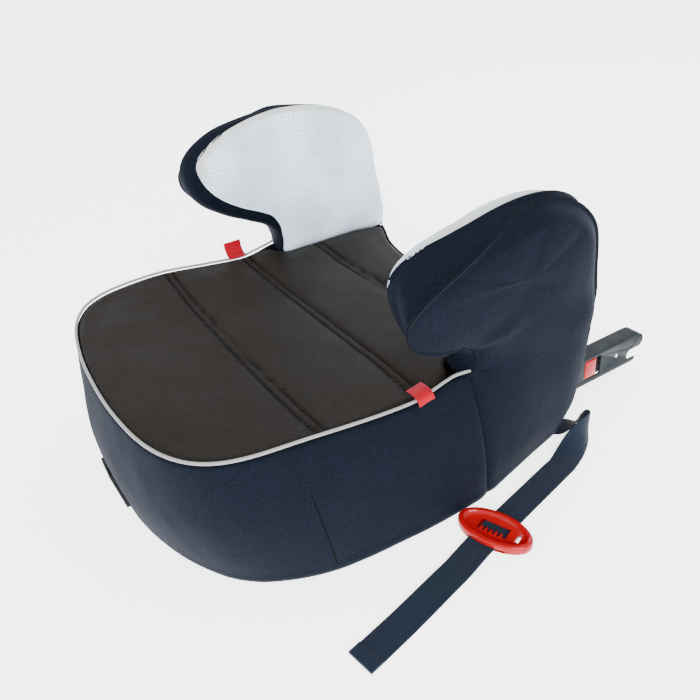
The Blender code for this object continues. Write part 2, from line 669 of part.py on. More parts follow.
def anchor_arm(side, sign):
    name = side + "_isofix_arm"
    inner = ARM_X - ARM_HALF_WIDTH
    outer = ARM_X + ARM_HALF_WIDTH
    low, high = sorted((sign * inner, sign * outer))
    obj = link(name, side_plate_mesh(name, ARM_SIDE, low, high), "grey_steel")
    space = (inner + ARM_WALL, outer - ARM_WALL, 0.020, 0.380, -0.010, ARM_TOP_Z - ARM_WALL)
    cut(obj, cutter(side + "_arm_space", signed_box("arm_space", sign, *space)))
    jaw_low = JAW_CENTRE[1] - JAW_RADIUS
    jaw_high = JAW_CENTRE[1] + JAW_RADIUS
    mouth = signed_box("jaw_mouth", sign, 0.120, 0.160, JAW_CENTRE[0], 0.380, jaw_low, jaw_high)
    end = rod_mesh("jaw_end", (sign * ARM_X, *JAW_CENTRE), JAW_RADIUS, 0.040, 0, 24)
    mouth_cutter = cutter(side + "_jaw_mouth", mouth)
    end_cutter = cutter(side + "_jaw_end", end)
    window = signed_box("button_window", sign, 0.120, 0.160, *WINDOW_Y, *WINDOW_Z)
    window_cutter = cutter(side + "_button_window", window)
    bevel(window_cutter, 0.002)
    pivot = rod_mesh("pivot_hole", (sign * ARM_X, *HOOK_PIVOT), PIN_RADIUS + PIN_CLEARANCE, 0.040, 0)
    small = rod_mesh("small_hole", (sign * ARM_X, 0.3365, 0.0312), 0.0012, 0.040, 0, 16)
    cut(obj, mouth_cutter, end_cutter, window_cutter)
    cut(obj, cutter(side + "_pivot_hole", pivot), cutter(side + "_small_hole", small))

    half = HOOK_THICKNESS / 2
    hook_low, hook_high = sorted((sign * (ARM_X - half), sign * (ARM_X + half)))
    hook_plate = side_plate_mesh("hook", curve_points(HOOK_SIDE, 2, closed=True), hook_low, hook_high)
    hook = link(side + "_latch_hook", hook_plate, "bright_steel")
    set_origin(hook, (sign * ARM_X, *HOOK_PIVOT))
    hook_hole = rod_mesh("hook_hole", (sign * ARM_X, *HOOK_PIVOT), PIN_RADIUS + PIN_CLEARANCE, 0.020, 0)
    cut(hook, cutter(side + "_hook_hole", hook_hole))
    pin_mesh = rod_mesh("pin", (sign * ARM_X, *HOOK_PIVOT), PIN_RADIUS, 2 * ARM_HALF_WIDTH, 0)
    pin = link(side + "_pivot_pin", pin_mesh, "bright_steel")

    between_walls = (inner + ARM_WALL + GAP, outer - ARM_WALL - GAP)
    block = signed_box("block", sign, *between_walls, 0.2620, 0.2820, 0.0175, 0.0410)
    button = link(side + "_release_button", block, "red_plastic")
    set_origin(button, (sign * ARM_X, 0.272, HOOK_PIVOT[1]))
    pad = signed_box("pad", sign, inner - 0.0005, outer + 0.0008, 0.2638, 0.2805, 0.0185, 0.0405)
    pad_cutter = cutter(side + "_button_pad", pad)
    bevel(pad_cutter, 0.0015)
    join(button, pad_cutter)
    for piece in (obj, hook, pin, button):
        put_on_carriage(piece)


for side, sign in (("left", 1), ("right", -1)):
    guide(side, sign)
    anchor_arm(side, sign)

bar_reach = ARM_X - ARM_HALF_WIDTH - GAP
bar_middle = (0.0, CROSS_BAR_Y, CROSS_BAR_Z)
cross_bar = link("cross_bar", rod_mesh("cross_bar", bar_middle, 0.007, 2 * bar_reach, 0), "grey_steel", True)
bar_bore = rod_mesh("bar_bore", bar_middle, 0.0055, 0.400, 0)
cut(cross_bar, cutter("bar_bore", bar_bore))
slide_bar = link(
    "slide_bar",
    box_mesh("slide_bar", (-0.008, SLIDE_BAR_Y[0], 0.0175), (0.008, SLIDE_BAR_Y[1], SLIDE_BAR_TOP_Z)),
    "bright_steel",
)
bevel(slide_bar, 0.0006)
put_on_carriage(cross_bar)
put_on_carriage(slide_bar)


# Brake lever, its bracket and pin, and the front handle with its rod

lever_y, lever_z = LEVER_PIVOT
SHOE_Z = SLIDE_BAR_TOP_Z + GAP - lever_z
LEVER_SIDE = [  # (y, z) from the pivot
    (-0.0050, -0.0010), (-0.0030, -0.0045), (0.0040, -0.0045), (0.0200, -0.0040), (0.0250, SHOE_Z),
    (0.0330, SHOE_Z), (0.0340, -0.0010), (0.0300, 0.0030), (0.0060, 0.0045), (0.0025, 0.0080),
    (0.0025, 0.0220), (-0.0025, 0.0220), (-0.0025, 0.0060), (-0.0050, 0.0030),
]
LEVER_OUTLINE = [(lever_y + y, lever_z + z) for y, z in LEVER_SIDE]
brake_lever = link("brake_lever", side_plate_mesh("brake_lever", LEVER_OUTLINE, -0.0070, 0.0070), "grey_steel")
set_origin(brake_lever, (0.0, *LEVER_PIVOT))
pin_hole = rod_mesh("lever_hole", (0.0, *LEVER_PIVOT), 0.0020 + PIN_CLEARANCE, 0.080, 0)
lever_hole = cutter("lever_hole", pin_hole)
fork_low = (-0.0032, lever_y - 0.010, ROD_Z - 0.0055)
fork = box_mesh("fork", fork_low, (0.0032, lever_y + 0.010, lever_z + 0.030))
cut(brake_lever, lever_hole, cutter("fork_slot", fork))

bracket = link(
    "brake_bracket",
    box_mesh("brake_bracket", (-0.0140, lever_y - 0.009, 0.0073), (0.0140, lever_y + 0.009, lever_z + 0.007)),
    "grey_steel",
)
space_low = (-0.0115, lever_y - 0.020, 0.0093)
bracket_space = box_mesh("bracket_space", space_low, (0.0115, lever_y + 0.020, 0.060))
cut(bracket, cutter("bracket_space", bracket_space), lever_hole)
link("brake_pin", rod_mesh("brake_pin", (0.0, *LEVER_PIVOT), 0.0020, 0.0280, 0), "bright_steel")


def front_handle():
    """Pull plate in front of the skirt, with a finger recess in its face."""
    plate = box_mesh("release_handle", (-0.017, -0.0045, 0.0), (0.017, 0.0, 0.0440))
    handle = link("release_handle", plate, "shell_plastic")
    bevel(handle, 0.0016, 3)
    recess = cutter("handle_recess", box_mesh("recess", (-0.012, -0.0100, 0.006), (0.012, -0.0025, 0.0260)))
    socket = cutter("handle_socket", rod_mesh("socket", (0.0, 0.0, 0.0405), 0.0023, 0.0050, 1, 24))
    for obj in (handle, recess, socket):
        obj.rotation_euler = (HANDLE_TILT, 0.0, 0.0)
        obj.location = (0.0, -0.2056, 0.0042)
    cut(handle, recess, socket)


front_handle()
ROD_FRONT_Y = -0.2106
ROD_REAR_Y = lever_y + 0.0025 + 0.0010 + 0.0015
rod_middle = (0.0, (ROD_FRONT_Y + ROD_REAR_Y) / 2, ROD_Z)
rod = rod_mesh("handle_rod", rod_middle, 0.0018, ROD_REAR_Y - ROD_FRONT_Y, 1, 20)
handle_rod = link("handle_rod", rod, "bright_steel", True)
join(handle_rod, cutter("rod_cross", rod_mesh("rod_cross", (0.0, ROD_REAR_Y, ROD_Z), 0.0015, 0.0130, 0, 20)))


# Belt guide tabs: folded ribbon sewn into the seat edge


def ribbon_mesh(name, line, y_low, y_high, thickness=0.0010):
    """A bent ribbon: line holds (x, z) points of its middle."""
    count = len(line)
    upper = []
    lower = []
    for i, (x, z) in enumerate(line):
        before = Vector(line[max(i - 1, 0)])
        after = Vector(line[min(i + 1, count - 1)])
        along = (after - before).normalized()
        side_x, side_z = -along.y * thickness / 2, along.x * thickness / 2
        upper.append((x + side_x, z + side_z))
        lower.append((x - side_x, z - side_z))
    ring = upper + lower[::-1]
    loops = []
    for y in (y_low, (y_low + y_high) / 2, y_high):
        loops.append([(x, y, z) for x, z in ring])
    return loft_mesh(name, loops)


TAB_DOWN = [
    (0.1675, 0.1349), (0.1725, 0.1356), (0.1770, 0.1358), (0.1805, 0.1352), (0.1835, 0.1335),
    (0.1855, 0.1295), (0.1873, 0.1245),
]
TAB_UP = [
    (0.1675, 0.1349), (0.1720, 0.1356), (0.1760, 0.1370), (0.1790, 0.1410), (0.1802, 0.1460),
    (0.1806, 0.1510),
]
link("left_belt_guide_tab", ribbon_mesh("left_tab", TAB_DOWN, 0.0170, 0.0420), "red_ribbon", True)
right_line = [(-x, z) for x, z in TAB_UP]
link("right_belt_guide_tab", ribbon_mesh("right_tab", right_line, 0.0050, 0.0260), "red_ribbon", True)


# Strap, its clamp and its clip


def strap_line():
    """(x, y, z, lean, thickness) along the strap: turned start, straight stretch, and folded tip."""
    points = curve_points(STRAP_START, 3, closed=False) + curve_points(STRAP_END, 2, closed=False)
    line = []
    for x, y, z, lean in points:
        # A leaning strap rests on its lower edge.
        reach = STRAP_WIDTH / 2 * abs(math.sin(math.radians(lean))) + STRAP_THICKNESS / 2 + GAP
        line.append((x, y, max(z, reach), lean, STRAP_THICKNESS))
    return line + [(*point, FOLD_THICKNESS) for point in STRAP_TIP]


def strap_mesh():
    line = strap_line()
    middles = [Vector(point[:3]) for point in line]
    loops = []
    for i, (middle, (_, _, _, lean, thickness)) in enumerate(zip(middles, line)):
        along = middles[min(i + 1, len(line) - 1)] - middles[max(i - 1, 0)]
        along.z = 0.0
        along.normalize()
        lean = math.radians(lean)
        level = Vector((along.y, -along.x, 0.0))
        width = level * math.cos(lean) + Vector((0.0, 0.0, 1.0)) * math.sin(lean)
        half_width = width * (STRAP_WIDTH / 2)
        half_thick = along.cross(width) * (thickness / 2)
        loops.append([
            middle - half_width - half_thick,
            middle + half_width - half_thick,
            middle + half_width + half_thick,
            middle - half_width + half_thick,
        ])
    return loft_mesh("shoulder_strap", loops)


link("shoulder_strap", strap_mesh(), "webbing")


def place_flat(objects, centre, turn):
    for obj in objects:
        obj.rotation_euler = (0.0, 0.0, turn)
        obj.location = (*centre, 0.0)


def oval_loop(half_length, half_width, z, sides=40):
    loop = []
    for i in range(sides):
        angle = 2 * math.pi * i / sides
        loop.append((half_length * math.cos(angle), half_width * math.sin(angle), z))
    return loop


def belt_clip():
    """Oval clip: the strap runs through its tunnel and shows in the window, over a comb of teeth."""
    grow = ((0.0003, -0.0010), (0.0013, 0.0), (0.0070, 0.0), (0.0086, -0.0010), (CLIP_TOP_Z, -0.0026))
    loops = [oval_loop(CLIP_HALF_LENGTH + g, CLIP_HALF_WIDTH + g, z) for z, g in grow]
    clip = link("belt_clip", loft_mesh("belt_clip", loops), "red_plastic", smooth=True)
    dish_levels = ((0.0062, -0.0075), (0.0072, -0.0058), (0.0110, -0.0040))
    dish = [oval_loop(CLIP_HALF_LENGTH + g, CLIP_HALF_WIDTH + g, z) for z, g in dish_levels]
    wide = CLIP_TUNNEL_HALF
    u_low, u_high, v_low, v_high = CLIP_WINDOW
    tunnel_low, tunnel_high = CLIP_TUNNEL_Z
    helpers = [
        cutter("clip_dish", loft_mesh("clip_dish", dish)),
        cutter("clip_tunnel", box_mesh("tunnel", (-wide, -0.030, tunnel_low), (wide, 0.030, tunnel_high))),
        cutter("clip_window", box_mesh("window", (u_low, v_low, 0.0035), (u_high, v_high, 0.020))),
        cutter("clip_slit", box_mesh("slit", (0.0200, -0.0040, -0.010), (0.0235, 0.0075, 0.020))),
    ]
    cut(clip, *helpers)
    pitch = (u_high - u_low) / 6
    for number in range(1, 6):
        middle = u_low + pitch * number
        tooth_low = (middle - 0.0010, v_low - 0.0010, 0.0044)
        tooth = box_mesh("tooth", tooth_low, (middle + 0.0010, v_low + 0.0034, 0.0070))
        helpers.append(cutter(f"clip_tooth_{number}", tooth))
        join(clip, helpers[-1])
    place_flat([clip, *helpers], CLIP_CENTRE, CLIP_TURN)


belt_clip()


def strap_clamp():
    """A bar across the strap, pulled up to the base plate by a screw at each end."""
    bar = box_mesh("strap_clamp", (-0.0045, -0.0200, 0.0008), (0.0045, 0.0200, 0.0019))
    clamp = link("strap_clamp", bar, "grey_steel")
    placed = [clamp]
    for number, reach in ((1, -0.0158), (2, 0.0158)):
        hole = cutter(f"clamp_hole_{number}", rod_mesh("hole", (0.0, reach, 0.005), 0.0017, 0.020, 2, 24))
        cut(clamp, hole)
        cut(base_plate, hole)
        screw = rod_mesh("screw", (0.0, reach, 0.0045), 0.0014, 0.0070, 2, 20)
        head = cutter(f"clamp_head_{number}", rod_mesh("head", (0.0, reach, 0.0082), 0.0030, 0.0018, 2, 20))
        screw_body = link(f"clamp_screw_{number}", screw, "bright_steel")
        join(screw_body, head)
        placed += [hole, head, screw_body]
    place_flat(placed, CLAMP_CENTRE, CLAMP_TURN)


strap_clamp()

for obj in list(SEAT.objects) + list(CUTTERS.objects):
    if obj.parent is None:
        obj.location.y += LAYOUT_SHIFT_Y
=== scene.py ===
"""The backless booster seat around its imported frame: covers, cushion, armrests, strap, finishes, floor and light.

Everything is in metres but the tables. The base's own layout has its middle at y = 0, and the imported
frame's origin lies under the middle of the whole length, so each layout point moves by SHIFT_Y.
"""

import json
import math

import bmesh
import bpy
from mathutils import Matrix, Vector, noise
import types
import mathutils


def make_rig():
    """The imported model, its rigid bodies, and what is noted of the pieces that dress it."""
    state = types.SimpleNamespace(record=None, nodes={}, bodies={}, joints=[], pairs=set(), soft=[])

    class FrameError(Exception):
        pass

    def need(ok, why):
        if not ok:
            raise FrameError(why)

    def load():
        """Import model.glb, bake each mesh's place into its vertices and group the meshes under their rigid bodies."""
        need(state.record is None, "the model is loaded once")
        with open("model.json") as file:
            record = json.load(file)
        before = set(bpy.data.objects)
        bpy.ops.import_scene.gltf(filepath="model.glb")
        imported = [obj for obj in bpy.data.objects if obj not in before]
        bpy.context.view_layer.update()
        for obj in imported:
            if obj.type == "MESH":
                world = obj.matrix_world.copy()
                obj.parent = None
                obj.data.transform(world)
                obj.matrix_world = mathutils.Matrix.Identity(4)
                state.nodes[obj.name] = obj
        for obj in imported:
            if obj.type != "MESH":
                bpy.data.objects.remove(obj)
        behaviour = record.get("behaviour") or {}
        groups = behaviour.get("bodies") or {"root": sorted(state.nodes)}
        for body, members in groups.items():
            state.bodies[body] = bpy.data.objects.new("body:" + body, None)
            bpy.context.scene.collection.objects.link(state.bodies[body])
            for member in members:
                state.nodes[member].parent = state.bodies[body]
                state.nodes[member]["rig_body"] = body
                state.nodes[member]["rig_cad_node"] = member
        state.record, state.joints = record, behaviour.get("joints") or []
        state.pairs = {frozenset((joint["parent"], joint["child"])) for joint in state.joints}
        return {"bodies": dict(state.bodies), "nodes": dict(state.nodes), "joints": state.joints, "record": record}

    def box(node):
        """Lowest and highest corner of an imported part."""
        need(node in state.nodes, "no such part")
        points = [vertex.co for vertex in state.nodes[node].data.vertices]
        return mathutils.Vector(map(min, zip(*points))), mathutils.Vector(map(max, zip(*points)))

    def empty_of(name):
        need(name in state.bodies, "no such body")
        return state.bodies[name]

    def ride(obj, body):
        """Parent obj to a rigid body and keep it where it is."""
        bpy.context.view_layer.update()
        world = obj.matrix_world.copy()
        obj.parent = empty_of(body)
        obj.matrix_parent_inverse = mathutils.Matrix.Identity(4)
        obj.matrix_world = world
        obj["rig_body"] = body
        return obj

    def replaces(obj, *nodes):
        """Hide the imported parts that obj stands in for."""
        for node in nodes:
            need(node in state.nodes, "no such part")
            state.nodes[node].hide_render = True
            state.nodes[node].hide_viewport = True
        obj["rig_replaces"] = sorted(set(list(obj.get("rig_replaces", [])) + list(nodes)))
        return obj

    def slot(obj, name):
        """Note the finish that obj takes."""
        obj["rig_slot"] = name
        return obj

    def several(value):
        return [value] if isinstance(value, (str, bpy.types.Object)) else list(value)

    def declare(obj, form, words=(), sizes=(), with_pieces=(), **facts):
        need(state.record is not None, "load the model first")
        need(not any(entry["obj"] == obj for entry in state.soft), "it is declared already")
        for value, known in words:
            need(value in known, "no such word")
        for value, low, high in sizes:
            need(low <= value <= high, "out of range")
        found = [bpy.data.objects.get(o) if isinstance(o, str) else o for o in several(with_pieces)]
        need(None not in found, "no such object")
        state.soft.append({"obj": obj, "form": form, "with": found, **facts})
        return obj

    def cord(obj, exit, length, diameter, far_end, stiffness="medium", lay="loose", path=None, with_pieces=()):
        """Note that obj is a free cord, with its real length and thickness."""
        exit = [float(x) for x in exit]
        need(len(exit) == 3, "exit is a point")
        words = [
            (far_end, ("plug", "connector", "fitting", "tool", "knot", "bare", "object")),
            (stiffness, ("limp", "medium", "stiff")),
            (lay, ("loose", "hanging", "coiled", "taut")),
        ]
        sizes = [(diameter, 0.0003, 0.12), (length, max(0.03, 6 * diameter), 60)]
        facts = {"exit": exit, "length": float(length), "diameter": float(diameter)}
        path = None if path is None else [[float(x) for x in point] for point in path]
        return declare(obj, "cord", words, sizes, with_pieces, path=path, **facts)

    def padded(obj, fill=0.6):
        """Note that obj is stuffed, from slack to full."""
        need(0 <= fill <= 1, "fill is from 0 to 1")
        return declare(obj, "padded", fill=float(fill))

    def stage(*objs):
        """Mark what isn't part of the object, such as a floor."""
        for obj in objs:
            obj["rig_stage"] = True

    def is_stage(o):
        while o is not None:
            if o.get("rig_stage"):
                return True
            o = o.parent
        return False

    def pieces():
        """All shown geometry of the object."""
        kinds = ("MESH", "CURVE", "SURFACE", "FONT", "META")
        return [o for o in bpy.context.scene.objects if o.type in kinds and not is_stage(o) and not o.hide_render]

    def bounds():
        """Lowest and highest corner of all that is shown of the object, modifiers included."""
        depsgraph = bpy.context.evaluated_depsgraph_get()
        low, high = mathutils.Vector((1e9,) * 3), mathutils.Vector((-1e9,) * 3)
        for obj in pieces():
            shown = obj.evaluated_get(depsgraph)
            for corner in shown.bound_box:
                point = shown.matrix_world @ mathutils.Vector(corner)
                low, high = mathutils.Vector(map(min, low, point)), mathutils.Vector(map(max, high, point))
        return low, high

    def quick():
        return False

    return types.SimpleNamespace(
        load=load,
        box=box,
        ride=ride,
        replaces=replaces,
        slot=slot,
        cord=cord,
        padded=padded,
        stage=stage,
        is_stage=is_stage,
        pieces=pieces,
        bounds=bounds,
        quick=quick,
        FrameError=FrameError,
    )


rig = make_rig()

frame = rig.load()
cad_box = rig.bounds()
NODES = frame["nodes"]

SHIFT_Y = -0.0695
SIDES = (("left", 1), ("right", -1))


def table(lengths, *rows):
    """The rows of a table in which the first values, this many, are written in millimetres."""
    return [tuple(v / 1000 if i < lengths else v for i, v in enumerate(row)) for row in rows]


# The base's side wall, right half, from the front centre round to the rear centre. Each row is one point of
# its outline: x, y and z of the seat edge, how far the wall bulges, and x and y of the hem.
WALL_HALF = table(
    6,
    (0, -197.5, 139.5, 9.5, 0, -203.5), (55, -195.5, 139.5, 9.5, 50, -199), (108, -188, 139.5, 9.5, 95, -186.5),
    (144, -175, 140, 9, 136, -168), (167, -155, 140, 8.5, 165, -146), (179, -125, 140, 8, 184, -118),
    (183, -75, 139.5, 7.5, 200, -75), (180, -20, 134, 7, 206, -22), (178, 26, 130, 7, 208.5, 20),
    (183, 62, 133, 7, 208, 62), (198, 92, 134, 6, 203, 95), (205, 130, 134, 5, 195, 128),
    (203.5, 175, 134, 4, 183, 178), (193, 204, 133, 3, 173, 203), (168, 213, 131, 3, 152, 212),
    (140, 206, 129.5, 3, 125, 213), (95, 186, 128.5, 3, 85, 211), (48, 176, 128, 3, 42, 209),
    (0, 172, 128, 3, 0, 208),
)
HEM_Z = 0.003
WALL_STEPS = 8  # columns between two outline points
FRONT_COLUMN = 76  # where the skirt meets the side panel
REAR_COLUMN = 104  # where the side panel meets the rear skirt

# Outline of the seat's top cover, right half: x, y, z.
SEAT_HALF = table(
    3,
    (0, -194.7, 139.5), (54.7, -192.7, 139.5), (107, -185.3, 139.5), (142.5, -172.7, 140), (164.6, -153.5, 140),
    (176.2, -124.5, 140), (180.2, -75, 139.5), (177.2, -20, 134), (175.2, 24, 131), (176.5, 48, 132),
    (170, 60, 132), (159, 66, 132), (151, 77, 132), (150, 105, 132), (149.5, 140, 132), (149, 175, 131),
    (145.5, 196, 130), (137.5, 201.5, 129.5), (118.5, 193.5, 129), (94, 183.2, 128.5), (47.5, 173.2, 128),
    (0, 169.2, 128),
)
SEAT_MIDDLE_Z = 0.126
SEAT_CENTRE_Y = -0.015
SEAT_BOTTOM_Z = 0.1126
SEAT_CORNERS = (4, 17)  # outline points at the front and rear corners
SEAT_SEAMS = (-0.068, 0.026, 0.112)
SEAM_ROW_GAP = 0.008
STITCH_PITCH = 0.004
STITCH_LENGTH = 0.003
STITCH_RADIUS = 0.00035
PUCKER_PITCH = 0.0052
COARSE_ALONG = 40  # steps of the simulated top, along and across the seat
COARSE_ACROSS = 36
FINE_ACROSS = 180
SEAT_SWELLING = 0.35  # share of the simulated swelling that shows
ARM_SWELLING = 0.5
CLOTH = {
    "quality": 5, "mass": 0.3, "tension_stiffness": 15, "compression_stiffness": 15, "shear_stiffness": 5,
    "bending_stiffness": 0.5, "use_pressure": True, "uniform_pressure_force": 4.0,
}
STUFFING_FRAMES = 20
MOST_SWELLING = 0.006

# Each armrest's outline in side view. Each row is one point: y and z at the ridge, y, z and x at the outer
# seam, and by how many rows the border of the light panel shifts. The two stuffed armrests sit differently.
LEFT_ARM = table(
    5,
    (72, 122, 74, 122, 191.5, -2.4), (70, 142, 74.5, 142, 195, -2.4), (66, 151, 72, 155, 199, -2.4),
    (53, 157, 62, 165.5, 202, -2.4), (39, 162, 45, 172, 204, -2.2), (26, 171, 27, 176.5, 205, -2),
    (18, 187, 10, 184.5, 205, -1.9), (13.5, 204, 1, 196, 205, -1.8), (12.5, 219, 0, 207, 205, -1.6),
    (16, 232, 6, 215.5, 205, -0.9), (29, 242, 22, 225, 204.5, 0.2), (51, 250, 45, 234, 203, 0.8),
    (80, 257, 70, 243, 200, 1), (108, 262, 104, 254, 192, 1), (138, 263.5, 135, 259, 184, 1),
    (166, 260.5, 160, 258.5, 183, 0.9), (191, 251.5, 187, 248, 184, 0.7), (209, 235, 205, 231, 186, 0.5),
    (217, 210, 212.5, 208, 188, 0.2), (217.5, 165, 212.5, 165, 191.5, 0), (214.5, 122, 210, 122, 194, -0.3),
    (175, 122, 172, 122, 204.5, -0.5), (138, 122, 138, 122, 206.5, -1), (100, 122, 102, 122, 203.5, -1.8),
)
RIGHT_ARM = table(
    5,
    (72, 122, 74, 122, 191.5, -1.6), (70, 142, 72, 142, 192.5, -2.4), (67, 154, 70, 155, 195, -3.2),
    (56, 163, 59, 166, 198, -3.9), (38, 171, 41, 175, 201, -4.1), (16, 181, 20, 185, 204, -4.1),
    (-4, 195, 1, 196, 205, -4), (-17, 213, -8, 204, 205, -3.7), (-21, 232, -13, 216, 205, -3.2),
    (-16, 250, -10, 230, 205, -2.6), (2, 265, 8, 242, 204, -2.4), (30, 276, 34, 254, 202, -2.1),
    (62, 282, 64, 269, 198, -1.6), (96, 284, 96, 280, 190, -1.1), (130, 281, 129, 278, 183, -0.9),
    (166, 273, 161, 270, 181, -0.6), (197, 258, 186, 255, 181, -0.3), (215, 236, 199, 234, 182, 0),
    (223, 208, 204, 208, 184, 0), (224, 165, 205, 165, 188, 0), (218, 122, 204, 122, 192.5, -0.3),
    (175, 122, 172, 122, 204.5, -0.5), (138, 122, 138, 122, 206.5, -0.6), (100, 122, 102, 122, 203.5, -1),
)
ARM_SHAPES = {"left": LEFT_ARM, "right": RIGHT_ARM}
ARM_RIDGE_X = 0.175
ARM_CENTRE = (0.118, 0.212)
ARM_OUTER_MIDDLE_X = 0.2055
ARM_COLUMN_STEPS = 6
ARM_ROW_STEPS = 6
# Each row: its x, and how far it is shrunk towards the middle.
ARM_INNER_ROWS = table(
    1,
    (151.8, 0.9), (151.8, 0.65), (152, 0.4), (152.5, 0.2), (154, 0.1), (157.5, 0.045), (164, 0.012), (166.5, 0.007),
    (175, 0),
)
PANEL_ROW = 7  # row where the light panel meets the dark cover, before its shifts
ARM_BOXING_SHARES = (0.45, 0.8, 1.0)
# Each row: how far it is shrunk, how far its x is levelled, and how far it stands out.
ARM_DOME_ROWS = [
    (0.06, 0.21, 0.0012), (0.22, 0.77, 0.0022), (0.45, 0.95, 0.0028), (0.7, 1.0, 0.003), (0.92, 1.0, 0.003),
]
ARM_LEANS = {"left": (0.0, 0.0), "right": (-0.009, 0.009)}  # how far each leans forwards and up
ARM_LEAN_FROM_Z = 0.134
ARM_LEAN_FULL_Z = 0.2
ARM_LOW_Z = 0.136  # the cover runs flush with the side cloth here, and is free of it at the higher one
ARM_FREE_Z = 0.172
ARM_SKIN = 0.0012
FOLD_START = (0.0, 0.066, 0.163)  # a soft fold runs up and back from the notch at the armrest's front foot
FOLD_DIRECTION = (0.0, 0.95, 0.31)
FINE_STEPS = 12
SHELL_TRIM_Z = 0.1255

# Strap: x, y and z of its middle line, and its lean in degrees (0 flat, 90 on edge).
STRAP_WIDTH = 0.025
STRAP_THICKNESS = 0.0014
STRAP_START = table(
    3,
    (136, 170.5, 2.95, 0), (150, 178.5, 2.95, 0), (164, 188.5, 1.8, 0), (175.5, 202, 1.4, 0), (183, 210.5, 6, 22),
    (188, 216, 10.8, 60), (192.5, 219.5, 12.9, 84), (197.2, 218.8, 13.1, 92), (201.2, 213, 12.8, 82),
    (205, 203, 11.2, 62), (208.5, 190, 7.8, 36), (213, 176, 4.2, 12), (218.7, 161, 2.95, 0),
    (220.9, 151.25, 2.95, 0),
)
STRAP_END = table(
    3,
    (245.1, 43.9, 2.95, 0), (247.3, 34.2, 2.95, 0), (251.5, 19, 2.95, 0), (256.3, 3, 2.95, 0),
    (260.5, -15, 2.95, 0), (265.8, -38, 2.8, 0), (270.5, -61, 1.6, 0), (275, -84, 1.1, 0), (277.5, -96, 1.1, 0),
)
STRAP_TIP = table(
    3,
    (277.8, -97.2, 1.8, 0), (280, -108.5, 1.8, 0),
)
FOLD_THICKNESS = 0.0028

PIPING_RADIUS = 0.0014
PIPING_COLUMN = 64  # the piping follows the edge this far round each side, then runs to the armrest

# The left edge of the seat sags, and so do the pieces along it.
SAG = 0.006
SAG_Y = 0.012
SAGGING = {
    "seat_cushion", "seat_stitching", "front_skirt_cloth", "left_side_cloth",
    "edge_piping_cord", "left_ribbon_tab", "left_skirt_dart",
}

# Camera, in the frame's coordinates.
CAMERA_PLACE = (0.5497, -0.3032, 0.4566)
CAMERA_RIGHT = (0.5219, 0.848, -0.0918)
CAMERA_UP = (-0.4128, 0.3453, 0.8428)
CAMERA_LENS = 34.67


# Smooth curves and small helpers


def add_object(name, data):
    obj = bpy.data.objects.new(name, data)
    bpy.context.scene.collection.objects.link(obj)
    return obj


def curve_points(points, steps, closed):
    """Points on a smooth curve through the given ones, of any dimension, with this many steps between two."""
    count = len(points)
    spans = count if closed else count - 1
    found = []
    for i in range(spans):
        around = []
        for offset in (-1, 0, 1, 2):
            place = i + offset
            place = place % count if closed else min(max(place, 0), count - 1)
            around.append(points[place])
        for step in range(steps):
            t = step / steps
            weights = (
                (-t + 2 * t * t - t**3) / 2,
                (2 - 5 * t * t + 3 * t**3) / 2,
                (t + 4 * t * t - 3 * t**3) / 2,
                (-t * t + t**3) / 2,
            )
            found.append(tuple(sum(w * p[a] for w, p in zip(weights, around)) for a in range(len(points[0]))))
    if not closed:
        found.append(tuple(points[-1]))
    return found


def whole_loop(half, steps):
    """The closed loop of a half outline whose first and last points are on the middle plane."""
    mirrored = [(-point[0], *point[1:]) for point in reversed(half[1:-1])]
    return curve_points(half + mirrored, steps, closed=True)


def outward_normals(loop):
    """Unit vectors pointing out of a counter-clockwise loop of (x, y) points."""
    count = len(loop)
    found = []
    for i in range(count):
        before = loop[i - 1]
        after = loop[(i + 1) % count]
        along = Vector((after[0] - before[0], after[1] - before[1])).normalized()
        found.append((along.y, -along.x))
    return found


def smooth(value, low, high):
    """0 below low, 1 above high, and a soft step between."""
    share = min(max((value - low) / (high - low), 0.0), 1.0)
    return share * share * (3 - 2 * share)


def bump(distance, width):
    return math.exp(-((distance / width) ** 2))


def rough(point, scale, seed=0.0):
    """Smooth noise from -1 to 1 whose lumps are about this many metres across."""
    return noise.noise(Vector(point) / scale + Vector((seed, seed * 0.37, -seed)))


def sag(point):
    """The left edge of the seat hangs out and down in front of its armrest."""
    reach = 0.1 if point.y < SAG_Y else 0.042
    amount = SAG * bump(point.y - SAG_Y, reach) * smooth(point.x, 0.1, 0.178)
    point.x += amount * smooth(point.z, 0.03, 0.12)
    point.z -= amount * smooth(point.z, 0.05, 0.13)


def piece(name, mesh, slot, look=None):
    """A visible object on the base, in its layout coordinates moved to the frame."""
    for vert in mesh.vertices:
        if name in SAGGING:
            sag(vert.co)
        vert.co.y += SHIFT_Y
    return framed_piece(name, mesh, "base", slot, look)


def framed_piece(name, mesh, body, slot, look=None, smooth_faces=True):
    """A visible object that rides on a body, in the frame's coordinates, with its slot's look or its own."""
    obj = add_object(name, mesh)
    mesh.materials.append(look or LOOKS[slot])
    mesh.polygons.foreach_set("use_smooth", [smooth_faces] * len(mesh.polygons))
    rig.ride(obj, body)
    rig.slot(obj, slot)
    return obj


def grid(rows, closed_rows=False, first_cap=False, last_cap=False, skip=None):
    """Faces between neighbouring rows of points. closed_rows joins each row's ends, and a cap fills one row."""
    bm = bmesh.new()
    verts = [[bm.verts.new(point) for point in row] for row in rows]
    count = len(verts[0])
    spans = count if closed_rows else count - 1
    for low, high in zip(verts, verts[1:]):
        for j in range(spans):
            k = (j + 1) % count
            corners = (low[j], low[k], high[k], high[j])
            if skip is None or not skip(sum((v.co for v in corners), Vector()) / 4):
                bm.faces.new(corners)
    if first_cap:
        bm.faces.new(list(reversed(verts[0])))
    if last_cap:
        bm.faces.new(verts[-1])
    bmesh.ops.delete(bm, geom=[v for v in bm.verts if not v.link_faces], context="VERTS")
    return bm, verts


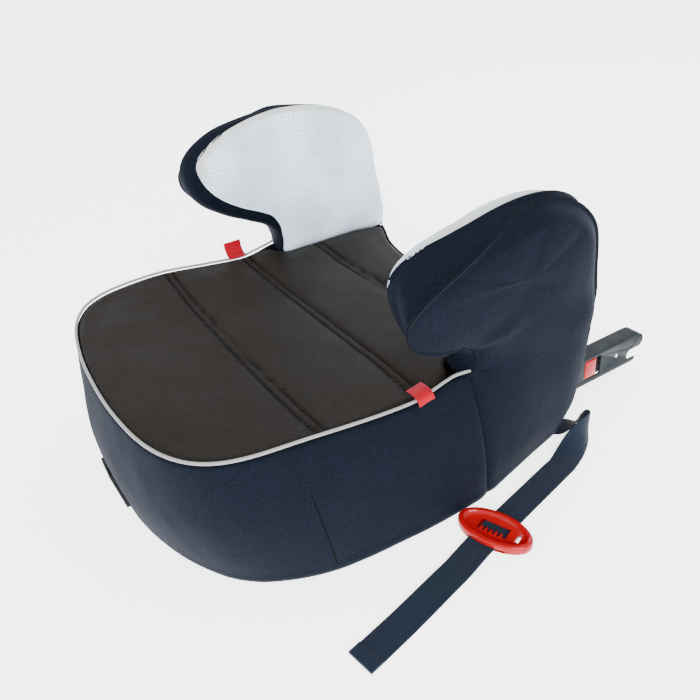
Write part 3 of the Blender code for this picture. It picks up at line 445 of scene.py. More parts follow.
def grid_mesh(name, rows, **options):
    return finished(name, grid(rows, **options)[0])


def tube_mesh(name, rings):
    """A closed solid through rings of points."""
    return grid_mesh(name, rings, closed_rows=True, first_cap=True, last_cap=True)


def finished(name, bm):
    bm.normal_update()
    bmesh.ops.recalc_face_normals(bm, faces=bm.faces)
    mesh = bpy.data.meshes.new(name)
    bm.to_mesh(mesh)
    bm.free()
    return mesh


def thicken(obj, thickness, offset=-1.0):
    step = obj.modifiers.new("thickness", "SOLIDIFY")
    step.thickness = thickness
    step.offset = offset


def face_outwards(mesh, centre):
    """Turns an open sheet's faces so that they point away from a point behind it."""
    total = sum((f.center - Vector(centre)).dot(f.normal) * f.area for f in mesh.polygons)
    if total < 0:
        mesh.flip_normals()


# Camera


def add_camera():
    data = bpy.data.cameras.new("camera")
    data.lens = CAMERA_LENS
    data.sensor_width = 36.0
    data.clip_start = 0.01
    data.dof.use_dof = False
    camera = add_object("camera", data)
    right = Vector(CAMERA_RIGHT).normalized()
    backward = right.cross(Vector(CAMERA_UP)).normalized()
    turn = Matrix((right, backward.cross(right), backward)).transposed()
    camera.matrix_world = Matrix.Translation(CAMERA_PLACE) @ turn.to_4x4()
    bpy.context.scene.camera = camera


add_camera()


# Materials


SPECULAR_LEVEL = 0.07  # the cloths and plastics are all matt


class Look:
    """A procedural material under construction, around its shader."""

    def __init__(self, name, colour, roughness, metallic=0.0, sheen=0.0):
        self.material = bpy.data.materials.new(name)
        self.material.use_nodes = True
        tree = self.material.node_tree
        self.new = tree.nodes.new
        self.link = tree.links.new
        self.shader = tree.nodes["Principled BSDF"]
        self.set("Base Color", colour)
        self.set("Roughness", roughness)
        self.set("Metallic", metallic)
        self.set("Specular IOR Level", SPECULAR_LEVEL)
        self.set("Sheen Weight", sheen)

    def give(self, socket, value):
        """Gives a socket a value or the output of another node."""
        if isinstance(value, bpy.types.NodeSocket):
            self.link(value, socket)
        else:
            socket.default_value = (*value, 1.0) if socket.type == "RGBA" else value

    def set(self, name, value):
        self.give(self.shader.inputs[name], value)

    def node(self, kind, inputs, **settings):
        """The outputs of a new node with these settings, and with values or other outputs in its inputs."""
        made = self.new("ShaderNode" + kind)
        for name, value in settings.items():
            setattr(made, name, value)
        for key, value in inputs.items():
            self.give(made.inputs[key], value)
        return made.outputs

    def place(self, size, source="Object"):
        """The place on the piece, in units of this size in metres."""
        scale = [1 / item for item in (size if isinstance(size, tuple) else (size,) * 3)]
        return self.node("Mapping", {"Vector": self.node("TexCoord", {})[source], "Scale": scale})["Vector"]

    def noise(self, size, detail=2.0):
        """Cloudy noise with lumps of about this size."""
        return self.node("TexNoise", {"Vector": self.place(size), "Scale": 1.0, "Detail": detail})["Fac"]

    def cells(self, size, feature="F1"):
        """Distances in a pattern of cells of about this size."""
        return self.node("TexVoronoi", {"Vector": self.place(size), "Scale": 1.0}, feature=feature)["Distance"]

    def split(self, vector):
        return self.node("SeparateXYZ", {0: vector})

    def mark(self, name):
        """A value from 0 to 1 that the mesh holds at its points."""
        return self.node("Attribute", {}, attribute_name=name)["Fac"]

    def ramp(self, factor, *stops):
        """A colour between two stops, each (place, colour)."""
        made = self.new("ShaderNodeValToRGB")
        for element, (place, colour) in zip(made.color_ramp.elements, stops):
            element.position = place
            element.color = (*colour, 1.0)
        self.link(factor, made.inputs["Fac"])
        return made.outputs["Color"]

    def calc(self, operation, *values):
        return self.node("Math", dict(enumerate(values)), operation=operation)[0]

    def spread(self, value, low, high, to_low=0.0, to_high=1.0):
        """Maps a value from one range to another, softly and clamped."""
        ends = {"From Min": low, "From Max": high, "To Min": to_low, "To Max": to_high}
        return self.node("MapRange", {"Value": value, **ends}, interpolation_type="SMOOTHSTEP")["Result"]

    def mix(self, factor, first, second):
        """A mix of two colours. The node's colour sockets are its inputs 6 and 7 and its output 2."""
        return self.node("Mix", {0: factor, 6: first, 7: second}, data_type="RGBA")[2]

    def relief(self, height, strength, distance, under=None):
        """Small relief on the shader's normals, over any relief made before it."""
        inputs = {"Height": height, "Strength": strength, "Distance": distance}
        if under is not None:
            inputs["Normal"] = under
        normal = self.node("Bump", inputs)["Normal"]
        self.set("Normal", normal)
        return normal


def leatherette():
    """Dark brown-grey synthetic leather: fine pebbled grain, satin, paler in patches, with painted shade darkening its
    stitched grooves.
    """
    look = Look("seat_leatherette", (0.015, 0.0115, 0.0088), 0.5)
    cloud = look.noise(0.045, 3.0)
    colour = look.ramp(cloud, (0.3, (0.0135, 0.0102, 0.0076)), (0.7, (0.018, 0.014, 0.0108)))
    pebble = look.spread(look.cells(0.0011, "DISTANCE_TO_EDGE"), 0.0, 0.28)
    colour = look.mix(pebble, (0.0075, 0.0058, 0.0046), colour)
    # Painted shade: the colour goes near black where the mesh's groove mask is high, in the stitched grooves of the
    # seams.
    look.set("Base Color", look.mix(look.mark("crease"), colour, (0.0012, 0.001, 0.0009)))
    look.set("Roughness", look.spread(cloud, 0.3, 0.7, 0.46, 0.58))
    grain = look.relief(pebble, 0.35, 0.0003)
    look.relief(look.noise(0.004), 0.12, 0.0008, grain)
    return look.material


def knit():
    """Black warp knit with fine wales and a faint blue sheen, with painted shade darkening its seam grooves."""
    dark = (0.001, 0.002, 0.005)
    look = Look("cover_knit", dark, 0.82, sheen=0.02)
    look.set("Sheen Roughness", 0.5)
    look.set("Sheen Tint", (0.55, 0.68, 1.0))
    loops = look.spread(look.cells((0.001, 0.001, 0.0016)), 0.15, 0.75)
    shade = look.calc("MULTIPLY_ADD", look.noise(0.03, 3.0), 0.55, loops)
    colour = look.ramp(shade, (0.15, (0.0029, 0.006, 0.015)), (0.95, dark))
    # Painted shade: near black where the mesh holds a high seam mask, which only the armrest covers carry.
    look.set("Base Color", look.mix(look.mark("crease"), colour, (0.0004, 0.0005, 0.0008)))
    wales = look.relief(loops, 0.3, 0.0003)
    look.relief(look.noise(0.006), 0.15, 0.0008, wales)
    return look.material


def panel_mesh():
    """Light spacer mesh: rows of small dots, strong in some regions and faint in others, grey at the rim."""
    look = Look("panel_mesh", (0.6, 0.7, 0.8), 0.85, sheen=0.25)
    place = look.split(look.node("TexCoord", {})["Object"])
    pitch = 0.005
    slope = math.sqrt(3.0)  # the dots stand in triangles
    distances = []
    for shift in (40.0, 40.5):
        across = look.calc("MULTIPLY_ADD", place["Y"], 1 / pitch, shift)
        along = look.calc("MULTIPLY_ADD", place["Z"], 1 / (pitch * slope), shift)
        across = look.calc("SUBTRACT", look.calc("FRACT", across), 0.5)
        along = look.calc("MULTIPLY", look.calc("SUBTRACT", look.calc("FRACT", along), 0.5), slope)
        squared = look.calc("MULTIPLY_ADD", along, along, look.calc("MULTIPLY", across, across))
        distances.append(look.calc("SQRT", squared))
    dots = look.spread(look.calc("MINIMUM", *distances), 0.27, 0.4, 1.0, 0.0)
    patches = look.spread(look.noise(0.055, 1.0), 0.38, 0.62)
    ground = look.ramp(look.noise(0.05), (0.3, (0.43, 0.53, 0.63)), (0.7, (0.52, 0.62, 0.71)))
    colour = look.mix(look.calc("MULTIPLY", dots, patches), ground, (0.78, 0.86, 0.93))
    look.set("Base Color", look.mix(look.mark("rim"), colour, (0.47, 0.47, 0.46)))
    raised = look.relief(dots, 0.35, 0.0006)
    look.relief(look.noise(0.0012), 0.2, 0.0002, raised)
    return look.material


def webbing():
    """Narrow woven strap: diagonal twill lines from two crossed waves."""
    dark = (0.0032, 0.0055, 0.0115)
    look = Look("webbing", dark, 0.7, sheen=0.08)
    place = look.split(look.place(0.0016, "UV"))
    slant = look.calc("ADD", place["X"], look.calc("PINGPONG", place["Y"], 4.0))
    twill = look.calc("SINE", look.calc("MULTIPLY", slant, 2 * math.pi))
    weft = look.calc("SINE", look.calc("MULTIPLY", place["X"], 4 * math.pi))
    shade = look.spread(look.calc("MULTIPLY_ADD", weft, 0.35, twill), -1.2, 1.2)
    look.set("Base Color", look.mix(shade, dark, (0.011, 0.018, 0.033)))
    look.relief(shade, 0.5, 0.0003)
    return look.material


def ribbon_red():
    """Glossy red ribbon with fine cross ribs and pink highlights."""
    look = Look("red_ribbon", (0.32, 0.002, 0.01), 0.34, sheen=0.15)
    look.set("Sheen Tint", (1.0, 0.45, 0.55))
    place = look.split(look.place(0.0008, "UV"))
    ribs = look.calc("SINE", look.calc("MULTIPLY", place["X"], 2 * math.pi))
    shade = look.spread(ribs, -1.0, 1.0)
    look.set("Base Color", look.mix(shade, (0.24, 0.0012, 0.006), (0.36, 0.003, 0.014)))
    look.relief(shade, 0.35, 0.0002)
    return look.material


def plain_cloth(name, colour, darker, size, roughness):
    """Cloth with a fine even grain."""
    look = Look(name, colour, roughness, sheen=0.2)
    grain = look.noise(size)
    look.set("Base Color", look.ramp(grain, (0.35, darker), (0.65, colour)))
    look.relief(grain, 0.4, size * 0.4)
    return look.material


def plastic(name, colour, roughness, coat=0.0, grain=0.0007, depth=0.15):
    """Moulded plastic: spark-eroded grain and a little unevenness in its gloss."""
    look = Look(name, colour, roughness)
    look.set("Coat Weight", coat)
    look.set("Coat Roughness", 0.08)
    cloud = look.noise(0.02, 3.0)
    paler = tuple(min(1.0, c * 1.18 + 0.002) for c in colour)
    look.set("Base Color", look.ramp(cloud, (0.35, colour), (0.7, paler)))
    look.set("Roughness", look.spread(cloud, 0.3, 0.7, roughness * 0.85, roughness * 1.2))
    look.relief(look.noise(grain), depth, 0.0002)
    return look.material


def coated_steel(name, colour, worn, roughness, metallic):
    """Sheet metal with a thin coating: faint brushed streaks, rubbed paler in patches."""
    look = Look(name, colour, roughness, metallic)
    streaks = look.noise((0.0009, 0.03, 0.0009), 3.0)
    shade = look.calc("MULTIPLY_ADD", streaks, 0.35, look.noise(0.018, 4.0))
    look.set("Base Color", look.ramp(shade, (0.5, colour), (0.9, worn)))
    look.set("Roughness", look.spread(shade, 0.4, 0.95, roughness * 1.15, roughness * 0.75))
    look.relief(streaks, 0.08, 0.0001)
    return look.material


LOOKS = {
    "seat_leatherette": leatherette(),
    "cover_knit": knit(),
    "panel_mesh": panel_mesh(),
    "piping_cloth": plain_cloth("piping_cloth", (0.27, 0.265, 0.26), (0.18, 0.178, 0.176), 0.0007, 0.6),
    "red_ribbon": ribbon_red(),
    "webbing": webbing(),
    "foam": plain_cloth("foam", (0.58, 0.55, 0.48), (0.44, 0.41, 0.35), 0.0012, 0.95),
    "shell_plastic": plastic("shell_plastic", (0.006, 0.006, 0.007), 0.42),
    "red_plastic": plastic("red_plastic", (0.27, 0.0005, 0.002), 0.22, coat=0.4, grain=0.0012, depth=0.05),
    "grey_steel": coated_steel("grey_steel", (0.01, 0.0135, 0.016), (0.014, 0.0185, 0.022), 0.42, 0.0),
    "bright_steel": coated_steel("bright_steel", (0.36, 0.37, 0.39), (0.62, 0.63, 0.65), 0.3, 1.0),
    "foot_rubber": plastic("foot_rubber", (0.018, 0.018, 0.018), 0.85, grain=0.0005, depth=0.3),
}
SEAT_THREAD = plain_cloth("seat_thread", (0.011, 0.0088, 0.0072), (0.005, 0.004, 0.0034), 0.0004, 0.6)
# Near-black cord for the skirt darts: the stitched seam, darker than the knit as painted shade of the dart's fold.
DART_SEAM_SHADE = plastic("seam_thread", (0.0004, 0.0004, 0.0005), 1.0)
SLOT_OF_NODE = {part["node"]: part["material_slot"] for part in frame["record"]["subparts"]}
for node_name, node in NODES.items():
    node.data.materials.clear()
    node.data.materials.append(LOOKS[SLOT_OF_NODE[node_name]])


# Strap


def strap_line():
    """(x, y, z, lean, thickness) along the strap: the turned start, a straight stretch, and the folded tip."""
    ends = (STRAP_START[-1], STRAP_END[0])
    stretch = [tuple(a + (b - a) * i / 12 for a, b in zip(*ends)) for i in range(1, 12)]
    points = curve_points(STRAP_START, 6, closed=False) + stretch + curve_points(STRAP_END, 4, closed=False)
    line = []
    for x, y, z, lean in points:
        # A leaning strap rests on its lower edge.
        reach = STRAP_WIDTH / 2 * abs(math.sin(math.radians(lean))) + STRAP_THICKNESS / 2 + 0.0003
        line.append((x, y + SHIFT_Y, max(z, reach), lean, STRAP_THICKNESS))
    return line + [(x, y + SHIFT_Y, z, lean, FOLD_THICKNESS) for x, y, z, lean in STRAP_TIP]


def strap_frames(line):
    """Middle, width direction and thickness direction at each point of the strap."""
    middles = [Vector(point[:3]) for point in line]
    found = []
    for i, (middle, (_, _, _, lean, _)) in enumerate(zip(middles, line)):
        along = middles[min(i + 1, len(line) - 1)] - middles[max(i - 1, 0)]
        along.z = 0.0
        along.normalize()
        lean = math.radians(lean)
        level = Vector((along.y, -along.x, 0.0))
        width = level * math.cos(lean) + Vector((0.0, 0.0, 1.0)) * math.sin(lean)
        found.append((middle, width, along.cross(width)))
    return found


def add_uv(mesh, places):
    """A UV layer from each vertex's (u, v)."""
    layer = mesh.uv_layers.new(name="weave")
    for loop in mesh.loops:
        layer.data[loop.index].uv = places[loop.vertex_index]


def strap():
    line = strap_line()
    frames = strap_frames(line)
    shares = (-1.0, -0.96, -0.6, -0.2, 0.2, 0.6, 0.96, 1.0)
    rows = []
    places = []
    travelled = 0.0
    for i, ((middle, width, thick), point) in enumerate(zip(frames, line)):
        if i:
            travelled += (middle - frames[i - 1][0]).length
        row = []
        for side in (1, -1):
            for share in shares[::side]:
                # The woven edges are thinner than the middle.
                half_thick = point[4] / 2 * (0.55 if abs(share) == 1.0 else 1.0)
                row.append(middle + width * (share * STRAP_WIDTH / 2) + thick * (side * half_thick))
                places.append((travelled, share * STRAP_WIDTH / 2))
        rows.append(row)
    mesh = tube_mesh("shoulder_strap_webbing", rows)
    add_uv(mesh, places)
    obj = framed_piece("shoulder_strap_webbing", mesh, "base", "webbing", smooth_faces=False)
    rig.replaces(obj, "shoulder_strap")
    return obj, [tuple(middle) for middle, _, _ in frames], travelled


strap_piece, strap_path, strap_length = strap()


def node_copy(node_name):
    """A CAD node's mesh, ready to edit, with its doubled corners merged."""
    bm = bmesh.new()
    bm.from_mesh(NODES[node_name].data)
    bmesh.ops.remove_doubles(bm, verts=bm.verts, dist=1e-6)
    return bm


def rounded_copy(name, node_name, width):
    """A copy of a CAD node with its flat faces merged and its edges rounded, which stands for the node."""
    bm = node_copy(node_name)
    bmesh.ops.dissolve_limit(bm, angle_limit=math.radians(0.5), verts=bm.verts, edges=bm.edges)
    mesh = bpy.data.meshes.new(name)
    bm.to_mesh(mesh)
    bm.free()
    obj = framed_piece(name, mesh, NODES[node_name]["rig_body"], SLOT_OF_NODE[node_name])
    step = obj.modifiers.new("rounded_edges", "BEVEL")
    step.width = width
    step.segments = 2
    step.limit_method = "ANGLE"
    step.angle_limit = math.radians(32)
    step.use_clamp_overlap = True
    step.harden_normals = True
    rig.replaces(obj, node_name)
    return obj


def trimmed_shell():
    """The shell without its armrest cores, which the soft armrests hide and lean away from."""
    bm = node_copy("seat_shell")
    everything = bm.verts[:] + bm.edges[:] + bm.faces[:]
    cut = bmesh.ops.bisect_plane(
        bm, geom=everything, plane_co=(0.0, 0.0, SHELL_TRIM_Z), plane_no=(0.0, 0.0, 1.0), clear_outer=True
    )
    edges = [item for item in cut["geom_cut"] if isinstance(item, bmesh.types.BMEdge)]
    bmesh.ops.holes_fill(bm, edges=edges, sides=0)
    obj = framed_piece("base_shell", finished("base_shell", bm), "base", "shell_plastic", smooth_faces=False)
    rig.replaces(obj, "seat_shell")


trimmed_shell()
clip_piece = rounded_copy("strap_slider", "belt_clip", 0.0005)
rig.cord(
    strap_piece,
    exit=strap_path[0],
    length=strap_length,
    diameter=STRAP_WIDTH,
    far_end="bare",
    stiffness="limp",
    lay="loose",
    path=strap_path,
    with_pieces=[clip_piece],
)


# Cushion


def seat_outline():
    loop = whole_loop(SEAT_HALF, WALL_STEPS)
    polar = sorted((math.atan2(y - SEAT_CENTRE_Y, x), math.hypot(x, y - SEAT_CENTRE_Y), z) for x, y, z in loop)
    return loop, polar


SEAT_LOOP, SEAT_POLAR = seat_outline()


def edge_towards(x, y):
    """Distance from the seat's centre to its edge in the direction of a point, and the edge's height there."""
    angle = math.atan2(y - SEAT_CENTRE_Y, x)
    low = 0
    high = len(SEAT_POLAR) - 1
    if angle <= SEAT_POLAR[0][0] or angle >= SEAT_POLAR[-1][0]:
        return SEAT_POLAR[0][1], SEAT_POLAR[0][2]
    while high - low > 1:
        middle = (low + high) // 2
        if SEAT_POLAR[middle][0] <= angle:
            low = middle
        else:
            high = middle
    a, b = SEAT_POLAR[low], SEAT_POLAR[high]
    share = (angle - a[0]) / max(b[0] - a[0], 1e-9)
    return a[1] + (b[1] - a[1]) * share, a[2] + (b[2] - a[2]) * share


def seat_height(x, y):
    """The dished seat before its panels are stuffed, and how near the point is to the edge, from 0 to 1."""
    reach, edge_z = edge_towards(x, y)
    share = min(math.hypot(x, y - SEAT_CENTRE_Y) / reach, 1.0)
    return SEAT_MIDDLE_Z + (edge_z - SEAT_MIDDLE_Z) * share**3, share


def resampled(points, shares):
    """Points at these shares of a line's length."""
    lengths = [0.0]
    for a, b in zip(points, points[1:]):
        lengths.append(lengths[-1] + math.dist(a, b))
    found = []
    place = 0
    for share in shares:
        target = share * lengths[-1]
        while place < len(points) - 2 and lengths[place + 1] < target:
            place += 1
        part = (target - lengths[place]) / max(lengths[place + 1] - lengths[place], 1e-12)
        part = min(max(part, 0.0), 1.0)
        found.append(tuple(a + (b - a) * part for a, b in zip(points[place], points[place + 1])))
    return found


def seat_grid(across, along):
    """Rows of (x, y) points over the seat, from its front edge to its rear edge, fitted to its outline."""
    front_corner, rear_corner = (corner * WALL_STEPS for corner in SEAT_CORNERS)
    flat = [(x, y) for x, y, _ in SEAT_LOOP]
    count = len(flat)
    right_side = flat[front_corner : rear_corner + 1]
    front = [(-x, y) for x, y in reversed(flat[1 : front_corner + 1])] + flat[: front_corner + 1]
    rear = list(reversed(flat[rear_corner : count - rear_corner + 1]))
    across_shares = [i / (across - 1) for i in range(across)]
    front = resampled(front, across_shares)
    rear = resampled(rear, across_shares)
    right_side = resampled(right_side, along)
    rows = []
    for v, (side_x, side_y) in zip(along, right_side):
        row = []
        for u, a, b in zip(across_shares, front, rear):
            x = (1 - v) * a[0] + v * b[0] + (2 * u - 1) * (side_x - (1 - v) * front[-1][0] - v * rear[-1][0])
            y = (1 - v) * a[1] + v * b[1] + side_y - (1 - v) * front[-1][1] - v * rear[-1][1]
            row.append((x, y))
        rows.append(row)
    return rows


def swollen(mesh, pins, width):
    """How far a mesh's points move when it is blown up from inside and held at the pins, in rows."""
    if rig.quick():
        return [[Vector()] * width] * (len(pins) // width)
    scene = bpy.context.scene
    obj = add_object("stuffing", mesh)
    group = obj.vertex_groups.new(name="pins")
    for index, weight in enumerate(pins):
        group.add([index], weight, "REPLACE")
    step = obj.modifiers.new("stuffing", "CLOTH")
    cloth = step.settings
    for name, value in CLOTH.items():
        setattr(cloth, name, value)
    cloth.effector_weights.gravity = 0.0
    cloth.vertex_group_mass = "pins"
    step.collision_settings.use_collision = False
    step.collision_settings.use_self_collision = False
    for number in range(1, STUFFING_FRAMES + 1):
        scene.frame_set(number)
    evaluated = obj.evaluated_get(bpy.context.evaluated_depsgraph_get()).to_mesh()
    offsets = []
    for before, after in zip(mesh.vertices, evaluated.vertices):
        moved = after.co - before.co
        if moved.length > MOST_SWELLING:
            moved = moved * (MOST_SWELLING / moved.length)
        offsets.append(moved)
    bpy.data.objects.remove(obj)
    scene.frame_set(1)
    # The mesh was made row by row, and its points keep that order.
    return [offsets[i : i + width] for i in range(0, len(offsets), width)]


def between(table, row, column, closed=False):
    """A vector at a fractional row and column of a table, whose rows may be closed rings."""
    count = len(table[0])
    i = min(int(row), len(table) - 2)
    j = int(column) if closed else min(int(column), count - 2)
    corners = [table[i + a][(j + b) % count] for a in (0, 1) for b in (0, 1)]
    low = corners[0].lerp(corners[1], column - j)
    return low.lerp(corners[2].lerp(corners[3], column - j), row - i)


def cushion_swelling():
    """Offsets of the cushion's top on a coarse grid, from its own stuffing simulation."""
    rows = seat_grid(COARSE_ACROSS + 1, [i / COARSE_ALONG for i in range(COARSE_ALONG + 1)])
    points = [[Vector((x, y, seat_height(x, y)[0])) for x, y in row] for row in rows]
    mesh = grid_mesh("cushion_stuffing", points)
    face_outwards(mesh, (0.0, 0.0, 0.0))
    pins = []
    for row in points:
        for point in row:
            share = seat_height(point.x, point.y)[1]
            seam = max(bump(point.y - seam_y, 0.006) for seam_y in SEAT_SEAMS)
            pins.append(max(smooth(share, 0.95, 0.99), seam))
    return swollen(mesh, pins, len(points[0]))


def seam_distances(x, y):
    """How far a place on the seat lies from each seam, which wanders a little."""
    for number, seam_y in enumerate(SEAT_SEAMS):
        yield abs(y - seam_y - seam_wander(x, number))


def seam_wander(x, number):
    return 0.0008 * rough((x, SEAT_SEAMS[number], 0.0), 0.06, number + 1.0)


def cushion_relief(x, y, share):
    """Height added by the stuffed panels, the seams' channels and welts, and the puckers beside them."""
    edges = (-0.197, *SEAT_SEAMS, 0.176)
    part = 0.0
    for low, high in zip(edges, edges[1:]):
        if low <= y <= high:
            part = (y - low) / (high - low)
            break
    height = 0.0024 * math.sin(math.pi * part) ** 0.6 * (1 - smooth(share, 0.8, 1.0))
    inside = 1 - smooth(share, 0.97, 1.0)
    for number, away in enumerate(seam_distances(x, y)):
        welt = bump(away, 0.0022)
        groove = bump(away - SEAM_ROW_GAP / 2, 0.0012)
        height += (0.001 * welt - 0.0014 * bump(away, 0.0075) - 0.0022 * groove) * inside
        wave = math.sin(
            2 * math.pi * x / PUCKER_PITCH + 2.0 * rough((x, SEAT_SEAMS[number], 0.0), 0.03, 5.0 + number)
        )
        pucker = 0.00035 * bump(away - SEAM_ROW_GAP / 2 - 0.0018, 0.0026)
        height += (pucker + 0.0002 * welt) * wave * (1 - smooth(share, 0.95, 1.0))
    height += 0.0011 * rough((x, y, 0.0), 0.055, 9.0) * (1 - smooth(share, 0.85, 1.0))
    # The cover rolls over its edge into the piping.
    return height - 0.0022 * smooth(share, 0.965, 1.0) ** 2


def along_shares():
    """Shares from the front edge to the rear one, close together at the seams."""
    shares = [0.0]
    front = -0.175
    rear = 0.188
    while shares[-1] < 1.0:
        y = front + (rear - front) * shares[-1]
        near = min(abs(y - seam_y) for seam_y in SEAT_SEAMS)
        step = 0.0008 if near < 0.011 else 0.003
        shares.append(shares[-1] + step / (rear - front))
    shares[-1] = 1.0
    return shares


def set_attribute(mesh, name, values):
    layer = mesh.attributes.new(name, "FLOAT", "POINT")
    for index, value in enumerate(values):
        layer.data[index].value = value


def seam_crease_shade(x, y, share):
    """How deep in one of the stitched grooves a place on the seat lies, from 0 to 1: the mask for the painted shade in
    those grooves.
    """
    if share > 0.985:
        return 0.0
    return max(bump(away - SEAM_ROW_GAP / 2, 0.0009) for away in seam_distances(x, y))


def seat_cushion():
    swelling = cushion_swelling()
    shares = along_shares()
    rows = []
    crease_shades = []
    for v, row in zip(shares, seat_grid(FINE_ACROSS + 1, shares)):
        points = []
        for j, (x, y) in enumerate(row):
            z, share = seat_height(x, y)
            crease_shades.append(seam_crease_shade(x, y, share))
            lift = between(swelling, v * COARSE_ALONG, j / FINE_ACROSS * COARSE_ACROSS).z
            points.append((x, y, z + cushion_relief(x, y, share) + SEAT_SWELLING * max(lift, 0.0)))
        rows.append(points)
    bm, verts = grid(rows)
    rim = verts[0] + [row[-1] for row in verts[1:-1]] + verts[-1][::-1] + [row[0] for row in verts[-2:0:-1]]
    under = []
    for vert in rim:
        towards = Vector((vert.co.x, vert.co.y - SEAT_CENTRE_Y, 0.0))
        place = vert.co - towards.normalized() * 0.0012
        under.append(bm.verts.new((place.x, place.y, SEAT_BOTTOM_Z)))
    for i in range(len(rim)):
        k = (i + 1) % len(rim)
        bm.faces.new((rim[i], under[i], under[k], rim[k]))
    bm.faces.new(list(reversed(under)))
    mesh = finished("seat_cushion", bm)
    # The groove mask, for the painted shade that the leatherette puts in the stitched grooves.
    set_attribute(mesh, "crease", crease_shades)
    obj = piece("seat_cushion", mesh, "seat_leatherette")
    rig.replaces(obj, "seat_top_cover", "seat_foam")
    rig.padded(obj, fill=0.7)


seat_cushion()


def seat_stitches():
    """Short threads along both rows of every seam."""
    bm = bmesh.new()
    turn = Vector((1.0, 0.0, 0.0)).to_track_quat("Z", "Y").to_matrix().to_4x4()
    stretch = turn @ Matrix.Diagonal((1.0, 1.0, STITCH_LENGTH / (2 * STITCH_RADIUS), 1.0))
    count = int(0.36 / STITCH_PITCH)
    for number, seam_y in enumerate(SEAT_SEAMS):
        for row in (-SEAM_ROW_GAP / 2, SEAM_ROW_GAP / 2):
            for i in range(-count // 2, count // 2 + 1):
                x = i * STITCH_PITCH
                y = seam_y + seam_wander(x, number) + row
                z, share = seat_height(x, y)
                if share > 0.975:
                    continue
                place = Matrix.Translation((x, y, z + cushion_relief(x, y, share) + 0.0002))
                bmesh.ops.create_icosphere(bm, subdivisions=1, radius=STITCH_RADIUS, matrix=place @ stretch)
    piece("seat_stitching", finished("seat_stitching", bm), "seat_leatherette", SEAT_THREAD)


seat_stitches()


# Base covers


EDGE = whole_loop([row[:4] for row in WALL_HALF], WALL_STEPS)
HEM = whole_loop([row[4:] for row in WALL_HALF], WALL_STEPS)
MEAN_NORMALS = outward_normals([((e[0] + h[0]) / 2, (e[1] + h[1]) / 2) for e, h in zip(EDGE, HEM)])
COLUMNS = len(EDGE)
WALL_ROWS = 34
WALL_SKIN = 0.0018
DART_FOOT_Y = -0.077
DART_SLOPE = 0.14  # forwards for each metre up
DART_TOP_Z = 0.095
DART_RADIUS = 0.0006
DART_STEPS = 15
DART_COLUMNS = range(36, 64)  # wall columns to look among for the dart
SIDE_COLUMNS = range(FRONT_COLUMN - 8, REAR_COLUMN + 9)
CORD_SIDES = 12
SEAM_SWEEP = 2.0  # columns
LOOSE_CORNER = (0.192, 0.196)  # the cover stands off the base at its rear corners
LOOSE_CORNER_PUSH = 0.0065


def wall_point(column, z):
    """A point of the padded side wall at this height."""
    column = column % COLUMNS
    edge_x, edge_y, edge_z, bulge = EDGE[column]
    hem_x, hem_y = HEM[column]
    out_x, out_y = MEAN_NORMALS[column]
    up = (z - HEM_Z) / (edge_z - HEM_Z)
    push = bulge * math.sin(math.pi * min(max(up, 0.0), 1.0))
    corner = bump(math.hypot(abs(hem_x) - LOOSE_CORNER[0], hem_y - LOOSE_CORNER[1]), 0.03)
    push += LOOSE_CORNER_PUSH * corner * (0.35 + 0.65 * smooth(z, 0.01, 0.05))
    return Vector((hem_x + (edge_x - hem_x) * up + out_x * push, hem_y + (edge_y - hem_y) * up + out_y * push, z))


def wall_relief(point, up):
    """How far the loose cloth of the base stands out or in: long soft folds and a turned hem."""
    folds = 0.0016 * rough((point.x * 1.4, point.y * 1.4, point.z * 0.45), 0.055, 3.0)
    folds += 0.0005 * rough((point.x, point.y, point.z * 0.7), 0.018, 4.0)
    push = folds * (0.35 + 0.65 * math.sin(math.pi * min(max(up, 0.0), 1.0)))
    tucked = 1 - smooth(point.y, 0.075, 0.095)
    push -= 0.001 * smooth(up, 0.93, 1.0) * tucked
    push *= 1 - smooth(up, 0.8, 1.0) * (1 - tucked)
    push += 0.0005 * bump(point.z - 0.0065, 0.003) - 0.0004 * bump(point.z - 0.0135, 0.001)
    return push


def skirt_top(column):
    return side_top(column) - 0.0027


def side_top(column):
    return EDGE[column % COLUMNS][2]


def rear_top(column):
    """Under the armrests the cover stops below them."""
    x, _, edge_z, _ = EDGE[column % COLUMNS]
    return 0.1215 if abs(x) > 0.15 else edge_z - 0.0031


def swept_wall_point(column, z, up):
    """A wall point, moved forwards near the front side seam, which leans forwards towards its top."""
    turned = column if column <= COLUMNS / 2 else column - COLUMNS
    shift = -SEAM_SWEEP * max(up, 0.0) ** 2.2 * bump(abs(turned) - FRONT_COLUMN, 7.0)
    shift *= 1 if turned > 0 else -1
    low = math.floor(column + shift)
    return wall_point(low, z).lerp(wall_point(low + 1, z), column + shift - low)


def wall_piece(name, first, last, top_of, replaced=(), skip=None):
    """One cloth panel of the base's side, from one column to another, drawn in at its end seams."""
    rows = []
    for i in range(WALL_ROWS + 1):
        row = []
        for column in range(first, last + 1):
            top = top_of(column)
            z = HEM_Z + (top - HEM_Z) * i / WALL_ROWS
            up = (z - HEM_Z) / (EDGE[column % COLUMNS][2] - HEM_Z)
            base = swept_wall_point(column, z, up)
            end = min(column - first, last - column)
            push = wall_relief(base, up) - 0.0016 * bump(end, 0.9)
            push += 0.0005 * bump(end - 2.5, 1.2)
            out_x, out_y = MEAN_NORMALS[column % COLUMNS]
            row.append(base + Vector((out_x, out_y, 0.0)) * push)
        rows.append(row)
    mesh = grid_mesh(name, rows, skip=skip)
    face_outwards(mesh, (0.0, 0.0, 0.07))
    obj = piece(name, mesh, "cover_knit")
    thicken(obj, WALL_SKIN)
    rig.replaces(obj, *replaced)


ARM_WINDOW_X = (0.1275, 0.1525)
ARM_WINDOW_TOP_Z = 0.0485


def in_arm_window(point):
    return point.y > 0.15 and ARM_WINDOW_X[0] < abs(point.x) < ARM_WINDOW_X[1] and point.z < ARM_WINDOW_TOP_Z


